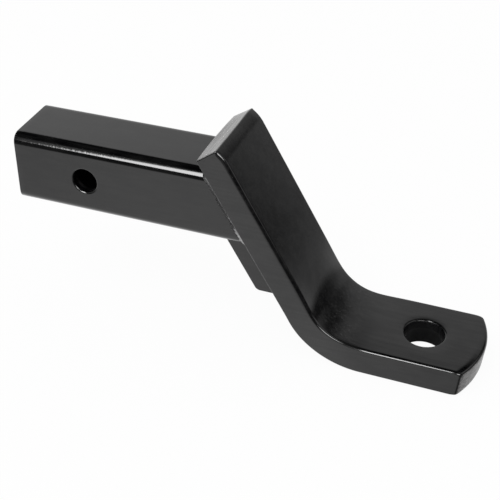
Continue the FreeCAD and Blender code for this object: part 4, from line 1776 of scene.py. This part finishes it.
@dataclass(frozen=True)
class Studio:
    """Camera, floor, lamp and surroundings, in metres.

    The ball platform covers a stretch of the floor, given by its middle and half its size; gloss
    sees that dark stretch, fading out over covered_blur, and the room's own floor elsewhere."""

    camera_at: Triple = (0.304985, -0.519781, 0.346148)
    camera_to: Triple = (0.10868, 0.0, -0.04594)
    lens: float = 71.677
    sensor: float = 36.0
    clip: Pair = (0.01, 50.0)
    floor_level: float = -0.1023
    floor_half: float = 3.0
    floor_grey: float = 0.9
    floor_glow: float = 0.95
    covered_at: Pair = (0.2333, 0.0)
    covered_half: Pair = (0.036, 0.032)
    covered_blur: float = 0.004
    lamp_at: Triple = (-0.5, -0.9, 1.6)
    lamp_side: float = 1.2
    lamp_power: float = 12.0

    def build(self) -> None:
        """Makes the studio."""
        self._camera()
        self._floor()
        self._lamp()
        bpy.context.scene.world = Surroundings().make()
        bpy.context.scene.view_settings.view_transform = "Standard"

    @staticmethod
    def _aim(obj: bpy.types.Object, at: Triple, to: Triple) -> None:
        """Places a camera or light and turns it towards a point.

        Args:
            obj: the camera or light.
            at: its place.
            to: the point.
        """
        obj.location = at
        way = Vector(to) - Vector(at)
        obj.rotation_euler = way.to_track_quat("-Z", "Y").to_euler()

    def _camera(self) -> None:
        """The camera at the photograph's angle."""
        data = bpy.data.cameras.new("camera")
        data.lens = self.lens
        data.sensor_width = self.sensor
        data.clip_start, data.clip_end = self.clip
        camera = put("camera", data)
        self._aim(camera, self.camera_at, self.camera_to)
        bpy.context.scene.camera = camera

    def _floor(self) -> None:
        """The pale floor: plain white where the camera sees it, less the object's soft shadow."""
        half, level = self.floor_half, self.floor_level
        mesh = bpy.data.meshes.new("floor")
        corners = [(-half, -half), (half, -half), (half, half), (-half, half)]
        mesh.from_pydata([(x, y, level) for x, y in corners], [], [(0, 1, 2, 3)])
        floor = put("floor", mesh)
        material = bpy.data.materials.new("floor")
        tree = ShaderTree(material)
        grey, white = ((tone, tone, tone, 1.0) for tone in (self.floor_grey, 1.0))
        diffuse = tree.out(tree.add("ShaderNodeBsdfDiffuse", {}, {"Color": grey}))
        glow = tree.out(tree.add("ShaderNodeEmission", {}, {"Color": white}))
        lit = tree.blend_shaders(tree.seen_directly() * self.floor_glow, diffuse, glow)
        open_air = tree.out(tree.add("ShaderNodeBsdfTransparent"))
        tree.finish("Material", tree.blend_shaders(self._away(tree), lit, open_air))
        mesh.materials.append(material)

    def _away(self, tree: ShaderTree) -> Wire:
        """1 where gloss looks past the floor at the room's own one: all but the dark stretch that
        the ball platform covers.

        Args:
            tree: the floor's tree.

        Returns:
            The mask.
        """
        middle = (*self.covered_at, self.floor_level)
        place = tree.vector("SUBTRACT", tree.coordinates("Object"), middle)
        x, y = (abs(axis) for axis in tree.split(place)[:2])
        edge = tree.larger(x - self.covered_half[0], y - self.covered_half[1])
        return tree.ray("Glossy") * tree.step(edge, -self.covered_blur, 0.0)

    def _lamp(self) -> None:
        """A soft lamp up at the front left, for the shadow; its mirror image is the room's."""
        data = bpy.data.lights.new("soft box", "AREA")
        data.size = self.lamp_side
        data.energy = self.lamp_power
        lamp = put("soft box", data)
        self._aim(lamp, self.lamp_at, (0.0, 0.0, 0.0))
        lamp.visible_glossy = False


def main() -> None:
    """Builds the pieces in order and then the studio."""
    logging.basicConfig(level=logging.INFO, format="%(name)s: %(message)s")
    ShankTube().build(TubePaint("tube paint").make())
    Drawbar().build(BarPaint("bar paint").make())
    StiffenerBlock().build(BlackPaint("block paint").make())
    Welds().build(WeldPaint("weld paint").make())
    Studio().build()


if __name__ == "__main__":
    main()
